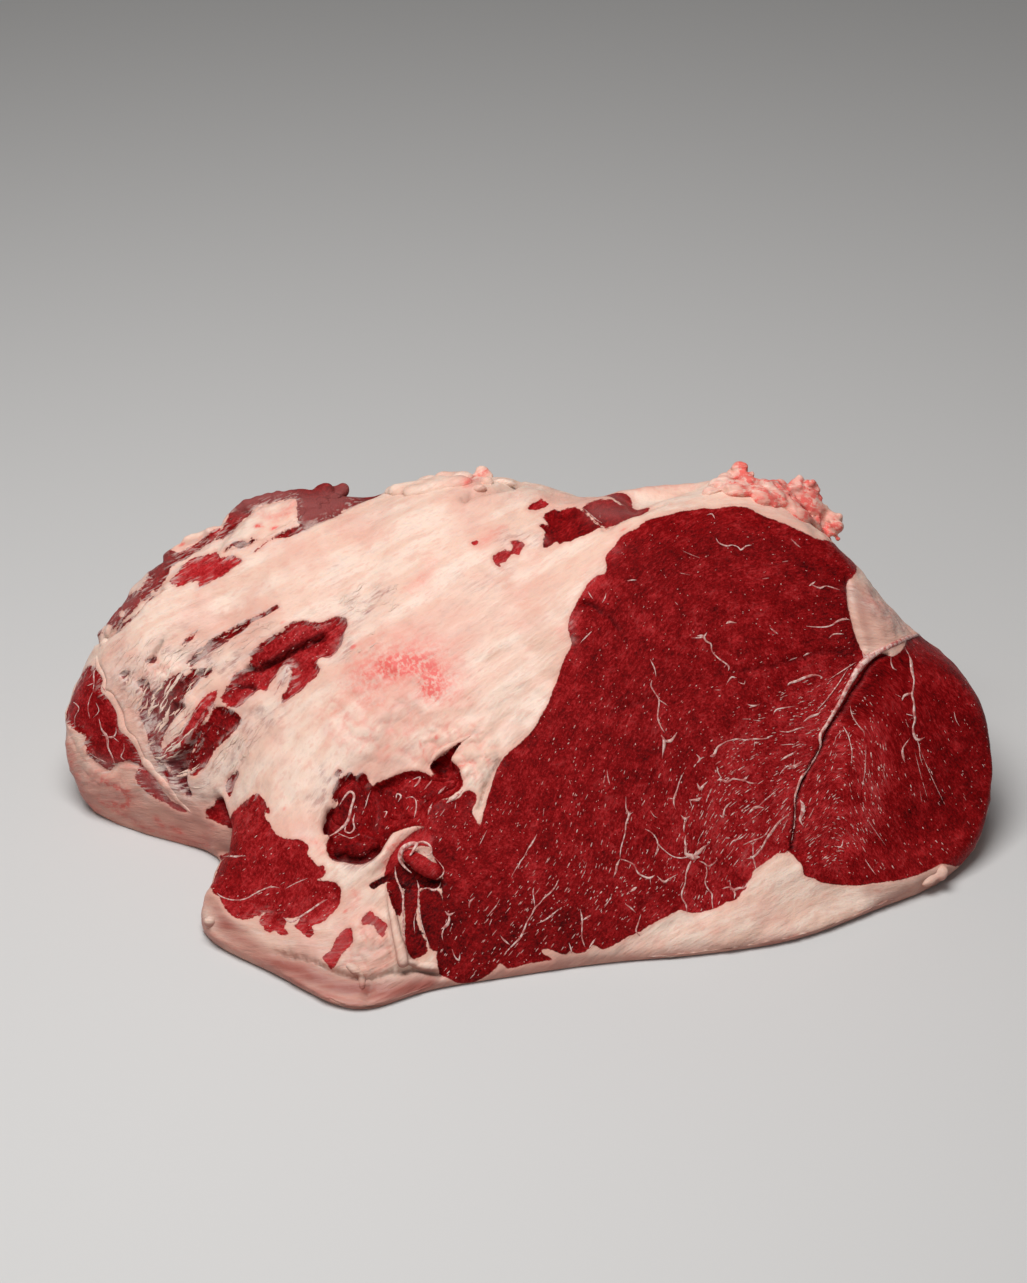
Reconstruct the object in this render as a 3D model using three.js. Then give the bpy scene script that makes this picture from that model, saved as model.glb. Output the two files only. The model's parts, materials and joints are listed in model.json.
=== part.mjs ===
// A raw horse silverside: one boneless joint, two muscles grown together, lying on its outer fat.
// The cut end, with the big flat muscle and the smaller eye muscle, faces the front and right.
// Millimetres, +Z up. The joint rests on z = 0, and the middle of its bounding box is on the Z axis.

import * as THREE from 'three';
import { mergeVertices } from 'three/addons/utils/BufferGeometryUtils.js';

// The ball that is shaped into the joint
const BALL_DETAIL = 20; // subdivisions of each face of the ball
const BALL_SPREAD = 0.9; // below 1, the ball's rings crowd towards the outline
const SOLE_SHARE = 0.7; // share of the ball's lower half that becomes the flat sole
const HEART = new THREE.Vector2(0, 12); // the point of the plan that the joint is drawn around

// The widest outline, anticlockwise: x, y and height above the table
const OUTLINE = [
  [-76, -131, 5], // front corner of the fat flap
  [-44, -117, 4],
  [-8, -107, 3], // foot of the cut end
  [36, -97, 3],
  [80, -91, 4],
  [124, -80, 5],
  [166, -56, 6],
  [195, -38, 8], // tip of the fat under the eye muscle
  [216, -14, 18], // eye muscle
  [222, 12, 42],
  [212, 50, 58],
  [184, 104, 55],
  [134, 148, 50], // back
  [56, 168, 45],
  [-40, 170, 45],
  [-120, 158, 45],
  [-180, 126, 44],
  [-212, 84, 42],
  [-225, 40, 34], // left tip
  [-214, 22, 10],
  [-180, 1, 6],
  [-149, -14, 6], // notch between the left end and the front flap
  [-143, -42, 8],
  [-150, -74, 6], // left corner of the front flap
  [-114, -106, 5],
];
const OUTLINE_SAMPLES = 1440;
const UNDERCUT = 0.7; // how far the sole lies inside the outline, as a share of the outline's height

// How the top turns down into the sides: a higher power is squarer
const SIDE_SHOULDER = 5;
const SIDE_DROP = 2.2;

// The lobes of meat and fat under the top surface: where, how high, how far they reach, how flat on top
const LOBE_FALL = 50; // height lost on the way out to a lobe's reach
const LOBE_SLOPE = 3; // how soon a lobe's fall becomes a steady slope
const LOBE_BLEND = 8; // rounding between two lobes
const LOBES = {
  bigMuscle: { at: [80, 50], top: 150, reach: [98, 84], flatness: 2 },
  middle: { at: [-24, 84], top: 146, reach: [112, 102], flatness: 1 },
  shoulder: { at: [-112, 100], top: 138, reach: [86, 92], flatness: 1 },
  leftEnd: { at: [-178, 92], top: 124, reach: [56, 76], flatness: 1 },
  flap: { at: [-104, -58], top: 44, reach: [50, 44], flatness: 1 },
  eyeMuscle: { at: [184, 26], top: 90, reach: [54, 78], flatness: 2 },
  frill: { at: [110, 90], top: 155, reach: [46, 34], flatness: 1 },
};

// Hollows in the top surface: where, how far they reach along and across, how they are turned, how deep
const HOLLOW_FADE = 60; // height of the joint at which a hollow has its full depth
const HOLLOWS = {
  pocket: { at: [-66, -48], reach: [32, 13], turn: 20, depth: 11 },
  notchFold: { at: [-140, 2], reach: [34, 11], turn: 78, depth: 12 },
  leftFurrow: { at: [-150, 38], reach: [46, 12], turn: 40, depth: 9 },
  tornFurrow: { at: [-98, 22], reach: [40, 11], turn: 34, depth: 6 },
  rearFurrow: { at: [-128, 122], reach: [44, 10], turn: 24, depth: 8 },
  seam: { at: [139, -16], reach: [46, 9], turn: 62, depth: 4 },
};

// The knife cuts: a foot point, how far the face looks to the right, how far it leans back, its swell
const CUTS = {
  bigMuscle: { foot: [35, -101], turn: 15, lean: 41, swell: 6 },
  eyeMuscle: { foot: [198, -35], turn: 27, lean: 34, swell: 3 },
};
const SWELL_REACH = 90;
const SWELL_MIDDLE = 60; // how far in from the foot the swell is highest
const RIM_ROUNDING = 9; // where the cut end meets the uncut top
const SEAM_ROUNDING = 14; // where the two cut faces meet

// The fat that stands out at the foot of the cut end
const FOOT_FAT = { x: 128, spread: 52, height: 20, width: 34, least: 4 };

const { clamp, lerp, degToRad } = THREE.MathUtils;

// The lower of two heights, rounded over where they meet
function softMin(a, b, rounding) {
  const blend = Math.max(rounding - Math.abs(a - b), 0) / rounding;
  return Math.min(a, b) - (blend * blend * rounding) / 4;
}

// A point of the plan as seen from a place that is turned by some degrees
function seenFrom(place, turn, x, y) {
  return new THREE.Vector2(x - place[0], y - place[1]).rotateAround(new THREE.Vector2(), -degToRad(turn));
}

// Gives the outline's reach from the heart and its height, by bearing
function outlineByBearing() {
  const points = OUTLINE.map(([x, y, z]) => new THREE.Vector3(x, y, z));
  const curve = new THREE.CatmullRomCurve3(points, true, 'centripetal');
  const samples = curve.getPoints(OUTLINE_SAMPLES).map((p) => {
    const fromHeart = new THREE.Vector2(p.x, p.y).sub(HEART);
    return { bearing: fromHeart.angle(), reach: fromHeart.length(), height: p.z };
  });
  samples.sort((a, b) => a.bearing - b.bearing);
  return (bearing) => {
    let low = 0;
    let high = samples.length - 1;
    while (high - low > 1) {
      const half = Math.floor((low + high) / 2);
      if (samples[half].bearing > bearing) high = half;
      else low = half;
    }
    const [from, to] = [samples[low], samples[high]];
    const share = clamp((bearing - from.bearing) / (to.bearing - from.bearing), 0, 1);
    return {
      reach: lerp(from.reach, to.reach, share),
      height: lerp(from.height, to.height, share),
    };
  };
}

// Height of the lobes above a point of the table
function lobesHeight(x, y) {
  const heights = Object.values(LOBES).map(({ at, top, reach, flatness }) => {
    const spread = ((x - at[0]) / reach[0]) ** 2 + ((y - at[1]) / reach[1]) ** 2;
    return top - LOBE_FALL * (Math.sqrt(1 + LOBE_SLOPE * spread ** flatness) - 1);
  });
  const highest = Math.max(...heights);
  const crowd = heights.reduce((sum, h) => sum + Math.exp((h - highest) / LOBE_BLEND), 0);
  return highest + LOBE_BLEND * Math.log(crowd);
}

// Depth of the hollows at a point of the table
function hollowDepth(x, y) {
  return Object.values(HOLLOWS).reduce((sum, { at, reach, turn, depth }) => {
    const away = seenFrom(at, turn, x, y);
    return sum + depth * Math.exp(-((away.x / reach[0]) ** 4) - (away.y / reach[1]) ** 2);
  }, 0);
}

// Height of a knife cut above a point of the table
function cutHeight({ foot, turn, lean, swell }, x, y) {
  const away = seenFrom(foot, turn, x, y);
  const fromMiddle = (away.x / SWELL_REACH) ** 2 + ((away.y - SWELL_MIDDLE) / SWELL_REACH) ** 2;
  return away.y / Math.tan(degToRad(lean)) + swell * Math.exp(-fromMiddle);
}

// Height of the fat at the foot of the cut end, by the way in from the outline
function footHeight(x, wayIn) {
  const share = Math.exp(-(((x - FOOT_FAT.x) / FOOT_FAT.spread) ** 2));
  const height = FOOT_FAT.least + FOOT_FAT.height * share;
  const width = FOOT_FAT.least + FOOT_FAT.width * share;
  const wayOut = 1 - clamp(wayIn / width, 0, 1);
  return height * Math.sqrt(1 - wayOut * wayOut);
}

// Height of the top skin above a point of the table
function topHeight(x, y, reach, edge) {
  const share = reach / edge.reach;
  const side = Math.max(1 - share ** SIDE_SHOULDER, 0) ** (1 / SIDE_DROP);
  const uncut = lerp(edge.height, Math.max(lobesHeight(x, y), edge.height), side);
  const bigCut = cutHeight(CUTS.bigMuscle, x, y);
  const eyeCut = cutHeight(CUTS.eyeMuscle, x, y);
  const foot = edge.height * share + footHeight(x, edge.reach - reach);
  const cut = Math.max(softMin(bigCut, eyeCut, SEAM_ROUNDING), foot);
  const whole = softMin(uncut, cut, RIM_ROUNDING);
  return whole - hollowDepth(x, y) * Math.min(side, whole / HOLLOW_FADE);
}

// One point of the skin, from the direction of a point of the ball
function skinPoint(direction, outline) {
  const bearing = new THREE.Vector2(direction.x, direction.y).angle();
  const edge = outline(bearing);
  const along = (reach) => [HEART.x + Math.cos(bearing) * reach, HEART.y + Math.sin(bearing) * reach];
  // 0 at the crown, 1 at the outline, 2 at the middle of the sole
  const down = (2 * Math.acos(clamp(direction.z, -1, 1))) / Math.PI;
  if (down <= 1) {
    const reach = edge.reach * Math.sin((down * Math.PI) / 2) ** BALL_SPREAD;
    const [x, y] = along(reach);
    return new THREE.Vector3(x, y, topHeight(x, y, reach, edge));
  }
  const soleReach = edge.reach - UNDERCUT * edge.height;
  if (2 - down < SOLE_SHARE) {
    return new THREE.Vector3(...along((soleReach * (2 - down)) / SOLE_SHARE), 0);
  }
  const tuck = ((down - 1) / (1 - SOLE_SHARE)) * (Math.PI / 2);
  const [x, y] = along(lerp(soleReach, edge.reach, Math.cos(tuck)));
  return new THREE.Vector3(x, y, edge.height * (1 - Math.sin(tuck)));
}

function silversideGeometry() {
  const ball = new THREE.IcosahedronGeometry(1, BALL_DETAIL);
  ball.deleteAttribute('normal');
  ball.deleteAttribute('uv');
  const skin = mergeVertices(ball);
  const outline = outlineByBearing();
  const position = skin.getAttribute('position');
  const direction = new THREE.Vector3();
  for (let i = 0; i < position.count; i += 1) {
    direction.fromBufferAttribute(position, i).normalize();
    position.setXYZ(i, ...skinPoint(direction, outline));
  }
  skin.computeBoundingBox();
  const middle = skin.boundingBox.getCenter(new THREE.Vector3());
  skin.translate(-middle.x, -middle.y, -skin.boundingBox.min.z);
  skin.computeVertexNormals();
  return skin;
}

const rawMeat = new THREE.MeshStandardMaterial({ color: 0x8e1a1c, roughness: 0.45, metalness: 0 });
const silverside = new THREE.Mesh(silversideGeometry(), rawMeat);
silverside.name = 'silverside';

const joint = new THREE.Group();
joint.add(silverside);

export default joint;
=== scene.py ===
import json
import math

import bmesh
import bpy
import numpy as np
from mathutils import Matrix, Vector, noise
from mathutils.bvhtree import BVHTree

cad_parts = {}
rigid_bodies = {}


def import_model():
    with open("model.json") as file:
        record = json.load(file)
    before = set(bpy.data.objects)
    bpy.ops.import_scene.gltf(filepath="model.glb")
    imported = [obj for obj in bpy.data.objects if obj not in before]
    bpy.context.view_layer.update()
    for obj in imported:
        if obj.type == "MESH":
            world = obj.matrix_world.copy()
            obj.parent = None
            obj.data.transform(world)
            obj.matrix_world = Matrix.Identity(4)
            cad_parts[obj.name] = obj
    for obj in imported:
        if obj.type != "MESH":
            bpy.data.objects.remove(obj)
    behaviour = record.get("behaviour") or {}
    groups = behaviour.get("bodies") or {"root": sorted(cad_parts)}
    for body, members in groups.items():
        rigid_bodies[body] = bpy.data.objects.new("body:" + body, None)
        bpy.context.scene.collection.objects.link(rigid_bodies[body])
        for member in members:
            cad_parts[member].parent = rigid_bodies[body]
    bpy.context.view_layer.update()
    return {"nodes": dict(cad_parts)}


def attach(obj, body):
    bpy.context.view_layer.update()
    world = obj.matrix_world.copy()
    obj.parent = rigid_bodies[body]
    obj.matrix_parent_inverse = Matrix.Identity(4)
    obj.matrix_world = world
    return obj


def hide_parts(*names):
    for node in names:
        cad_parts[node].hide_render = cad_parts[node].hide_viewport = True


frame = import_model()
mm = 0.001

# The photograph's camera. Lengths in mm, pixels of the 1027 x 1283 photograph
shot = {
    "width": 1027,
    "height": 1283,
    "focal": 3043.5,  # pixels
    "tilt": 32.0,  # degrees above the horizon
    "distance": 1400.0,
    "target": (-4.794, -18.884, 111.0),
}
pixelSize = shot["distance"] / shot["focal"]  # mm for a pixel at the target
farOff = 26.0  # pixels; distances to an outline stop counting here
allFat, allLean = -9.0, 9.0  # mm from the border of the lean, where its layer stops counting

tilt = math.radians(shot["tilt"])
lookAlong = np.array([0.0, math.cos(tilt), -math.sin(tilt)])
shotUp = np.array([0.0, math.sin(tilt), math.cos(tilt)])
shotRight = np.array([1.0, 0.0, 0.0])
eyePoint = np.array(shot["target"]) - lookAlong * shot["distance"]


def toPixel(points):
    away = points - eyePoint
    depth = away @ lookAlong
    x = shot["width"] / 2 + shot["focal"] * (away @ shotRight) / depth
    y = shot["height"] / 2 - shot["focal"] * (away @ shotUp) / depth
    return np.stack([x, y], axis=1)


def rayThrough(x, y):
    along = (
        lookAlong * shot["focal"]
        + shotRight * (x - shot["width"] / 2)
        - shotUp * (y - shot["height"] / 2)
    )
    return Vector(eyePoint * mm), Vector(along).normalized()


def facingShot(points, normals):
    # 1 where the surface looks at the camera, below zero where it looks away
    toEye = eyePoint - points
    toEye /= np.linalg.norm(toEye, axis=1, keepdims=True)
    return np.einsum("ij,ij->i", toEye, normals)


def smoothStep(low, high, value):
    share = np.clip((value - low) / (high - low), 0.0, 1.0)
    return share * share * (3 - 2 * share)


def lerp(a, b, share):
    return a + (b - a) * share


def noiseAt(points, size, shift=0.0):
    # size in mm, result about -1 to 1
    rows = (points / size + shift).tolist()
    return np.array([noise.noise(row) for row in rows]) * 1.6


def spotsOf(numbers, each=2):
    # Rows of x, y and what follows them, from the tables below
    return np.array(numbers, float).reshape(-1, each)


def smoothLine(points, closed=False, steps=4):
    # Catmull-Rom curve through points of any width
    last = len(points) if closed else len(points) - 1
    out = []
    for i in range(last):
        if closed:
            p = [points[(i + k) % len(points)] for k in (-1, 0, 1, 2)]
        else:
            p = [points[min(max(i + k, 0), len(points) - 1)] for k in (-1, 0, 1, 2)]
        for step in range(steps):
            t = step / steps
            out.append(
                0.5
                * (
                    2 * p[1]
                    + (p[2] - p[0]) * t
                    + (2 * p[0] - 5 * p[1] + 4 * p[2] - p[3]) * t**2
                    + (3 * p[1] - p[0] - 3 * p[2] + p[3]) * t**3
                )
            )
    if not closed:
        out.append(points[-1])
    return np.array(out)


def distanceToLine(spots, line, closed=False):
    # Pixels from each spot to the line
    x, y = spots[:, 0].copy(), spots[:, 1].copy()
    best = np.full(len(spots), 1e9)
    ends = np.roll(line, -1, axis=0) if closed else line[1:]
    for (startX, startY), (endX, endY) in zip(line.tolist(), ends.tolist()):
        runX, runY = endX - startX, endY - startY
        gapX, gapY = x - startX, y - startY
        share = (gapX * runX + gapY * runY) / max(runX * runX + runY * runY, 1e-9)
        np.clip(share, 0, 1, out=share)
        gapX -= share * runX
        gapY -= share * runY
        np.minimum(best, gapX * gapX + gapY * gapY, out=best)
    return np.sqrt(best)


def insideOf(spots, outline):
    # Signed distance to a closed outline in pixels, positive inside
    result = np.full(len(spots), -farOff)
    low, high = outline.min(axis=0) - farOff, outline.max(axis=0) + farOff
    near = np.flatnonzero(np.all((spots > low) & (spots < high), axis=1))
    if len(near) == 0:
        return result
    close = spots[near]
    x, y = close[:, 0].copy(), close[:, 1].copy()
    within = np.zeros(len(close), bool)
    ends = np.roll(outline, -1, axis=0)
    for (startX, startY), (endX, endY) in zip(outline.tolist(), ends.tolist()):
        if startY == endY:
            continue
        crosses = (startY > y) != (endY > y)
        within ^= crosses & (x < startX + (y - startY) * (endX - startX) / (endY - startY))
    away = distanceToLine(close, outline, closed=True)
    result[near] = np.maximum(np.where(within, away, -away), -farOff)
    return result


def drawInside(draw, area, count, tries=4):
    # Random spots inside an area of the picture
    spots = draw.uniform(area.min(axis=0), area.max(axis=0), (count * tries, 2))
    return spots[insideOf(spots, area) > 0][:count]


# What the skin shows. All outlines and lines are x, y, x, y and so on, in pixels of the photograph

# Lean that shows: tone (0 deep, 1 bright), how far it lies below the fat and how wide its edge
# slopes, both in mm, and its outline
leanPatches = {
    "bigMuscle": (0.46, 0.4, 1.8, [440, 974, 437, 962, 437, 951, 443, 930, 444, 915, 443, 900,
         442, 888, 443, 880, 441, 872, 437, 863, 433, 856, 431, 848, 428, 840, 424, 832, 425, 820,
         428, 808, 440, 800, 452, 800, 460, 797, 465, 791, 470, 790, 476, 794, 477, 800, 473, 808,
         472, 813, 476, 819, 480, 826, 483, 815, 486, 803, 490, 790, 494, 776, 499, 764, 506, 755,
         516, 746, 526, 737, 534, 728, 541, 716, 547, 705, 551, 695, 556, 681, 561, 668, 566, 655,
         572, 644, 569, 634, 568, 624, 572, 612, 578, 600, 584, 590, 590, 580, 597, 575, 605, 573,
         607, 566, 605, 559, 608, 552, 614, 546, 619, 539, 628, 533, 637, 529, 645, 522, 656, 518,
         668, 515, 680, 511, 691, 509, 705, 507, 718, 508, 731, 507, 745, 508, 757, 512, 768, 517,
         781, 522, 795, 528, 808, 535, 821, 540, 835, 543, 846, 550, 854, 560, 857, 572, 850, 580,
         848, 590, 849, 605, 852, 620, 855, 632, 859, 643, 863, 653, 866, 660, 855, 676, 845, 692,
         836, 708, 826, 724, 820, 736, 820, 746, 814, 758, 805, 772, 800, 782, 797, 795, 796, 810,
         794, 835, 790, 851, 779, 853, 770, 859, 760, 866, 753, 872, 751, 879, 746, 884, 747, 888,
         741, 893, 736, 900, 727, 902, 717, 908, 705, 911, 695, 913, 687, 912, 680, 910, 668, 916,
         650, 925, 640, 932, 630, 936, 619, 942, 608, 948, 600, 949, 593, 945, 586, 951, 576, 954,
         570, 951, 566, 955, 556, 952, 547, 949, 541, 951, 547, 956, 553, 960, 540, 962, 525, 965,
         508, 969, 501, 963, 496, 969, 488, 975, 475, 982, 461, 985, 450, 979]),
    "eyeMuscle": (0.44, 0.4, 1.8, [868, 661, 876, 655, 884, 653, 893, 656, 902, 651, 906, 644,
         909, 638, 916, 635, 926, 632, 945, 632, 978, 660, 1002, 690, 1012, 740, 1012, 800,
         1000, 838, 975, 862, 955, 866, 942, 864, 930, 870, 915, 876, 900, 880, 885, 882, 870, 884,
         855, 886, 840, 885, 830, 884, 819, 882, 814, 878, 807, 877, 803, 872, 803, 866, 799, 861,
         794, 855, 790, 851, 794, 835, 796, 810, 797, 795, 800, 782, 805, 772, 814, 758, 820, 746,
         821, 736, 826, 724, 836, 708, 845, 692, 855, 676]),
    "pocket": (0.36, 3.2, 3.0, [332, 798, 334, 788, 339, 779, 346, 775, 351, 772, 356, 776,
         362, 773, 367, 775, 371, 786, 377, 783, 390, 778, 404, 772, 420, 771, 431, 776, 448, 777,
         458, 770, 462, 778, 463, 786, 455, 793, 448, 798, 440, 800, 428, 810, 426, 826, 416, 828,
         402, 832, 394, 835, 388, 842, 380, 853, 370, 861, 359, 865, 345, 862, 333, 861, 327, 853,
         326, 845, 329, 839, 325, 835, 323, 827, 326, 820, 327, 812, 333, 806]),
    "underFat": (0.2, 7.0, 2.5, [430, 765, 438, 758, 449, 750, 462, 741, 456, 751, 451, 760,
         457, 766, 460, 771, 448, 777, 436, 777]),
    "shelf": (0.16, 2.5, 2.0, [368, 885, 378, 879, 387, 873, 386, 867, 393, 863, 402, 860, 410, 866,
         425, 876, 443, 878, 443, 887, 430, 889, 418, 888, 405, 889, 396, 884, 384, 882, 374, 889]),
    "stripA": (0.3, 0.5, 1.5, [386, 884, 392, 882, 398, 883, 402, 892, 403, 903, 402, 912, 398, 917,
         394, 910, 390, 899]),
    "stripB": (0.3, 0.5, 1.5, [404, 891, 410, 887, 418, 883, 420, 892, 418, 905, 416, 915, 418, 925,
         423, 936, 428, 948, 424, 955, 414, 959, 408, 953, 405, 942, 405, 920]),
    "stripC": (0.28, 0.5, 1.5, [420, 893, 427, 888, 436, 889, 442, 897, 444, 910, 444, 925,
         441, 940, 437, 951, 432, 950, 427, 940, 422, 927, 420, 912]),
    "flapPatch": (0.56, 0.8, 2.0, [256, 793, 262, 798, 266, 806, 264, 815, 269, 823, 273, 830,
         279, 836, 286, 839, 298, 840, 304, 842, 309, 848, 307, 854, 312, 859, 317, 866, 323, 865,
         326, 871, 322, 877, 315, 880, 325, 881, 336, 883, 341, 890, 339, 903, 335, 910, 329, 915,
         325, 920, 318, 924, 312, 926, 314, 933, 309, 938, 304, 934, 298, 929, 292, 927, 298, 921,
         299, 916, 292, 918, 284, 917, 282, 915, 286, 921, 284, 928, 289, 933, 284, 935, 278, 934,
         274, 930, 269, 933, 262, 926, 259, 922, 263, 914, 269, 909, 258, 915, 250, 919, 243, 920,
         235, 918, 227, 911, 222, 903, 219, 897, 213, 893, 208, 880, 212, 866, 219, 855, 222, 845,
         222, 835, 225, 825, 233, 813, 241, 804, 249, 798]),
    "flapIslandA": (0.9, 0.2, 1.5, [351, 928, 345, 929, 339, 934, 334, 943, 330, 951, 323, 957,
         327, 964, 331, 968, 337, 965, 341, 956, 346, 950, 350, 947, 354, 938]),
    "flapIslandB": (0.95, 0.2, 1.5, [371, 910, 365, 914, 361, 920, 363, 926, 371, 924, 375, 928,
         379, 935, 383, 938, 386, 930, 387, 924, 382, 920, 376, 916]),
    "flapSpot": (0.5, 0.5, 1.0, [265, 808, 268, 807, 270, 811, 268, 814, 265, 812]),
    "leftEndMuscle": (0.5, 0.8, 1.5, [97, 667, 103, 679, 101, 689, 108, 693, 113, 700, 119, 712,
         121, 722, 123, 730, 129, 734, 135, 742, 139, 750, 141, 760, 139, 766, 128, 762, 115, 764,
         108, 771, 95, 763, 87, 755, 84, 742, 84, 734, 76, 731, 66, 722, 58, 712, 64, 698, 74, 682,
         84, 668]),
    "leftEndPale": (0.7, 0.4, 1.5, [138, 768, 147, 766, 155, 774, 161, 782, 164, 793, 176, 804,
         189, 812, 178, 811, 165, 803, 150, 796, 140, 787, 135, 778]),
    "notchPatch": (0.5, 2.0, 1.5, [206, 810, 213, 806, 216, 798, 222, 799, 226, 806, 226, 815,
         223, 828, 219, 824, 213, 820, 207, 817]),
    "notchSliver": (0.45, 1.5, 1.5, [227, 782, 231, 775, 238, 771, 240, 775, 236, 783, 233, 793,
         229, 797]),
    "slotHole": (0.26, 5.0, 2.5, [198, 728, 206, 722, 197, 742, 190, 757, 187, 775, 188, 786,
         192, 796, 186, 797, 180, 790, 175, 783, 171, 773, 165, 765, 160, 763, 168, 760, 180, 750,
         189, 739]),
    "slotLip": (0.66, -1.2, 2.0, [217, 690, 215, 700, 208, 713, 201, 726, 190, 740, 178, 752,
         165, 763, 158, 760, 160, 752, 167, 746, 180, 732, 191, 716, 198, 704, 207, 694]),
    "web": (0.34, 0.6, 2.0, [138, 700, 146, 692, 156, 690, 162, 684, 172, 676, 182, 672, 188, 684,
         184, 700, 176, 714, 168, 728, 162, 742, 160, 756, 166, 768, 176, 782, 170, 784, 160, 770,
         152, 754, 148, 738, 142, 722, 138, 710]),
    "stripTop": (0.22, 0.2, 1.5, [443, 905, 450, 896, 456, 905, 458, 925, 452, 948, 444, 960,
         437, 955, 441, 940]),
    "lipRed": (0.8, 0.3, 1.5, [384, 876, 388, 862, 395, 850, 404, 841, 413, 834, 422, 829, 430, 832,
         432, 846, 420, 846, 410, 848, 403, 854, 400, 862, 392, 868]),
    "slotPatch": (0.34, 2.2, 2.5, [213, 708, 221, 706, 228, 709, 240, 716, 240, 724, 233, 733,
         226, 740, 219, 746, 213, 754, 207, 764, 200, 772, 194, 776, 189, 772, 188, 762, 192, 752,
         197, 742, 200, 731, 207, 720]),
    "slotUpper": (0.24, 2.6, 2.0, [211, 663, 206, 667, 200, 669, 193, 668, 189, 672, 184, 677,
         178, 680, 173, 686, 168, 692, 165, 700, 163, 710, 161, 722, 160, 735, 166, 730, 172, 722,
         178, 714, 186, 708, 183, 703, 176, 702, 172, 699, 180, 694, 190, 690, 197, 682, 200, 676,
         206, 677, 211, 670]),
    "stripOne": (0.3, 2.0, 1.5, [186, 663, 192, 656, 200, 649, 210, 641, 221, 634, 232, 628,
         241, 624, 249, 620, 257, 616, 266, 611, 276, 605, 279, 607, 270, 613, 261, 618, 253, 622,
         247, 628, 240, 633, 231, 639, 222, 645, 212, 651, 203, 656, 196, 662, 191, 666]),
    "stripFlecks": (0.4, 1.0, 1.0, [198, 631, 195, 636, 190, 641, 185, 646, 182, 645, 186, 639,
         192, 634]),
    "tornUpper": (0.6, 2.6, 2.5, [248, 666, 251, 655, 257, 647, 264, 641, 272, 636, 280, 631,
         289, 624, 296, 621, 305, 620, 312, 622, 322, 621, 330, 618, 338, 616, 346, 618, 347, 626,
         343, 633, 342, 643, 337, 650, 330, 657, 322, 657, 316, 662, 320, 668, 315, 677, 307, 683,
         300, 690, 290, 697, 283, 703, 280, 700, 283, 692, 288, 684, 291, 672, 286, 664, 280, 668,
         276, 674, 270, 682, 266, 690, 258, 690, 254, 694, 246, 700, 240, 706, 232, 708, 223, 704,
         221, 698, 224, 690, 229, 685, 232, 678, 236, 674, 243, 671]),
    "rearMaroon": (0.4, 1.2, 1.6, [220, 532, 226, 522, 231, 508, 240, 492, 262, 484, 300, 478,
         335, 472, 352, 478, 352, 486, 372, 483, 380, 490, 366, 497, 352, 501, 345, 504, 333, 512,
         320, 519, 307, 525, 300, 526, 297, 518, 297, 505, 295, 498, 285, 500, 272, 503, 259, 505,
         253, 509, 251, 515, 243, 520, 236, 528, 228, 536, 220, 539, 215, 540]),
    "rearStrip": (0.55, 1.0, 1.5, [222, 528, 214, 540, 205, 546, 198, 551, 188, 557, 180, 561,
         168, 564, 174, 556, 185, 550, 195, 544, 205, 537, 213, 531]),
    "rearBright": (0.78, 1.2, 1.5, [170, 581, 178, 572, 186, 562, 195, 557, 207, 555, 218, 551,
         220, 557, 228, 556, 236, 556, 243, 561, 235, 567, 228, 573, 218, 578, 207, 583, 198, 587,
         199, 581, 190, 582, 183, 585, 175, 586]),
    "rearSlit": (0.1, 4.0, 1.5, [220, 553, 226, 548, 233, 543, 240, 541, 248, 542, 252, 538,
         257, 540, 251, 543, 244, 546, 237, 548, 232, 546, 226, 552]),
    "rearUnder": (0.4, 2.0, 1.2, [253, 552, 262, 543, 272, 537, 283, 531, 290, 527, 300, 525,
         309, 525, 298, 533, 288, 537, 278, 537, 268, 541, 260, 547]),
    "rearM1": (0.42, 0.8, 1.5, [86, 640, 90, 628, 99, 615, 112, 606, 126, 595, 142, 590, 142, 598,
         134, 610, 123, 621, 112, 630, 101, 634, 97, 641]),
    "rearM2": (0.46, 0.5, 1.5, [141, 590, 146, 580, 152, 573, 156, 580, 152, 592, 147, 599,
         141, 601]),
    "rearM3": (0.36, 0.8, 1.5, [148, 578, 152, 562, 160, 550, 169, 548, 178, 554, 181, 560,
         172, 566, 168, 576, 160, 587, 154, 592]),
    "topDark": (0.36, 1.5, 2.0, [543, 516, 548, 512, 553, 509, 560, 510, 566, 508, 575, 507,
         580, 509, 588, 516, 596, 523, 601, 526, 592, 531, 583, 535, 576, 538, 570, 541, 563, 541,
         560, 544, 555, 541, 549, 546, 543, 547, 543, 541, 545, 538, 544, 530, 539, 527, 543, 524,
         548, 527, 546, 520]),
    "topBrown": (0.42, 1.0, 1.5, [582, 507, 590, 503, 598, 500, 605, 500, 612, 499, 620, 500,
         632, 494, 640, 498, 650, 500, 644, 505, 635, 509, 625, 515, 615, 521, 607, 524, 600, 524,
         592, 517, 586, 512]),
    "topRed": (0.56, 0.6, 1.5, [569, 488, 576, 485, 585, 484, 595, 481, 608, 481, 617, 479,
         624, 486, 630, 491, 630, 499, 620, 499, 608, 496, 600, 497, 592, 497, 585, 498, 578, 493]),
    "topBright": (0.72, 0.6, 1.2, [492, 559, 498, 553, 505, 550, 511, 551, 513, 546, 510, 543,
         514, 541, 522, 542, 525, 546, 520, 552, 519, 556, 513, 554, 507, 560, 505, 563, 500, 564,
         502, 569, 496, 565]),
    "topFleck": (0.75, 0.4, 1.0, [527, 509, 533, 504, 541, 500, 549, 505, 540, 509, 532, 511]),
    "fleckA": (0.7, 0.3, 1.0, [471, 543, 477, 541, 478, 544, 474, 546]),
    "fleckB": (0.3, 1.0, 1.0, [335, 776, 339, 769, 341, 772, 338, 777]),
    "holeA": (0.2, 2.5, 1.0, [145, 661, 150, 658, 155, 656, 157, 661, 150, 664]),
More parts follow.
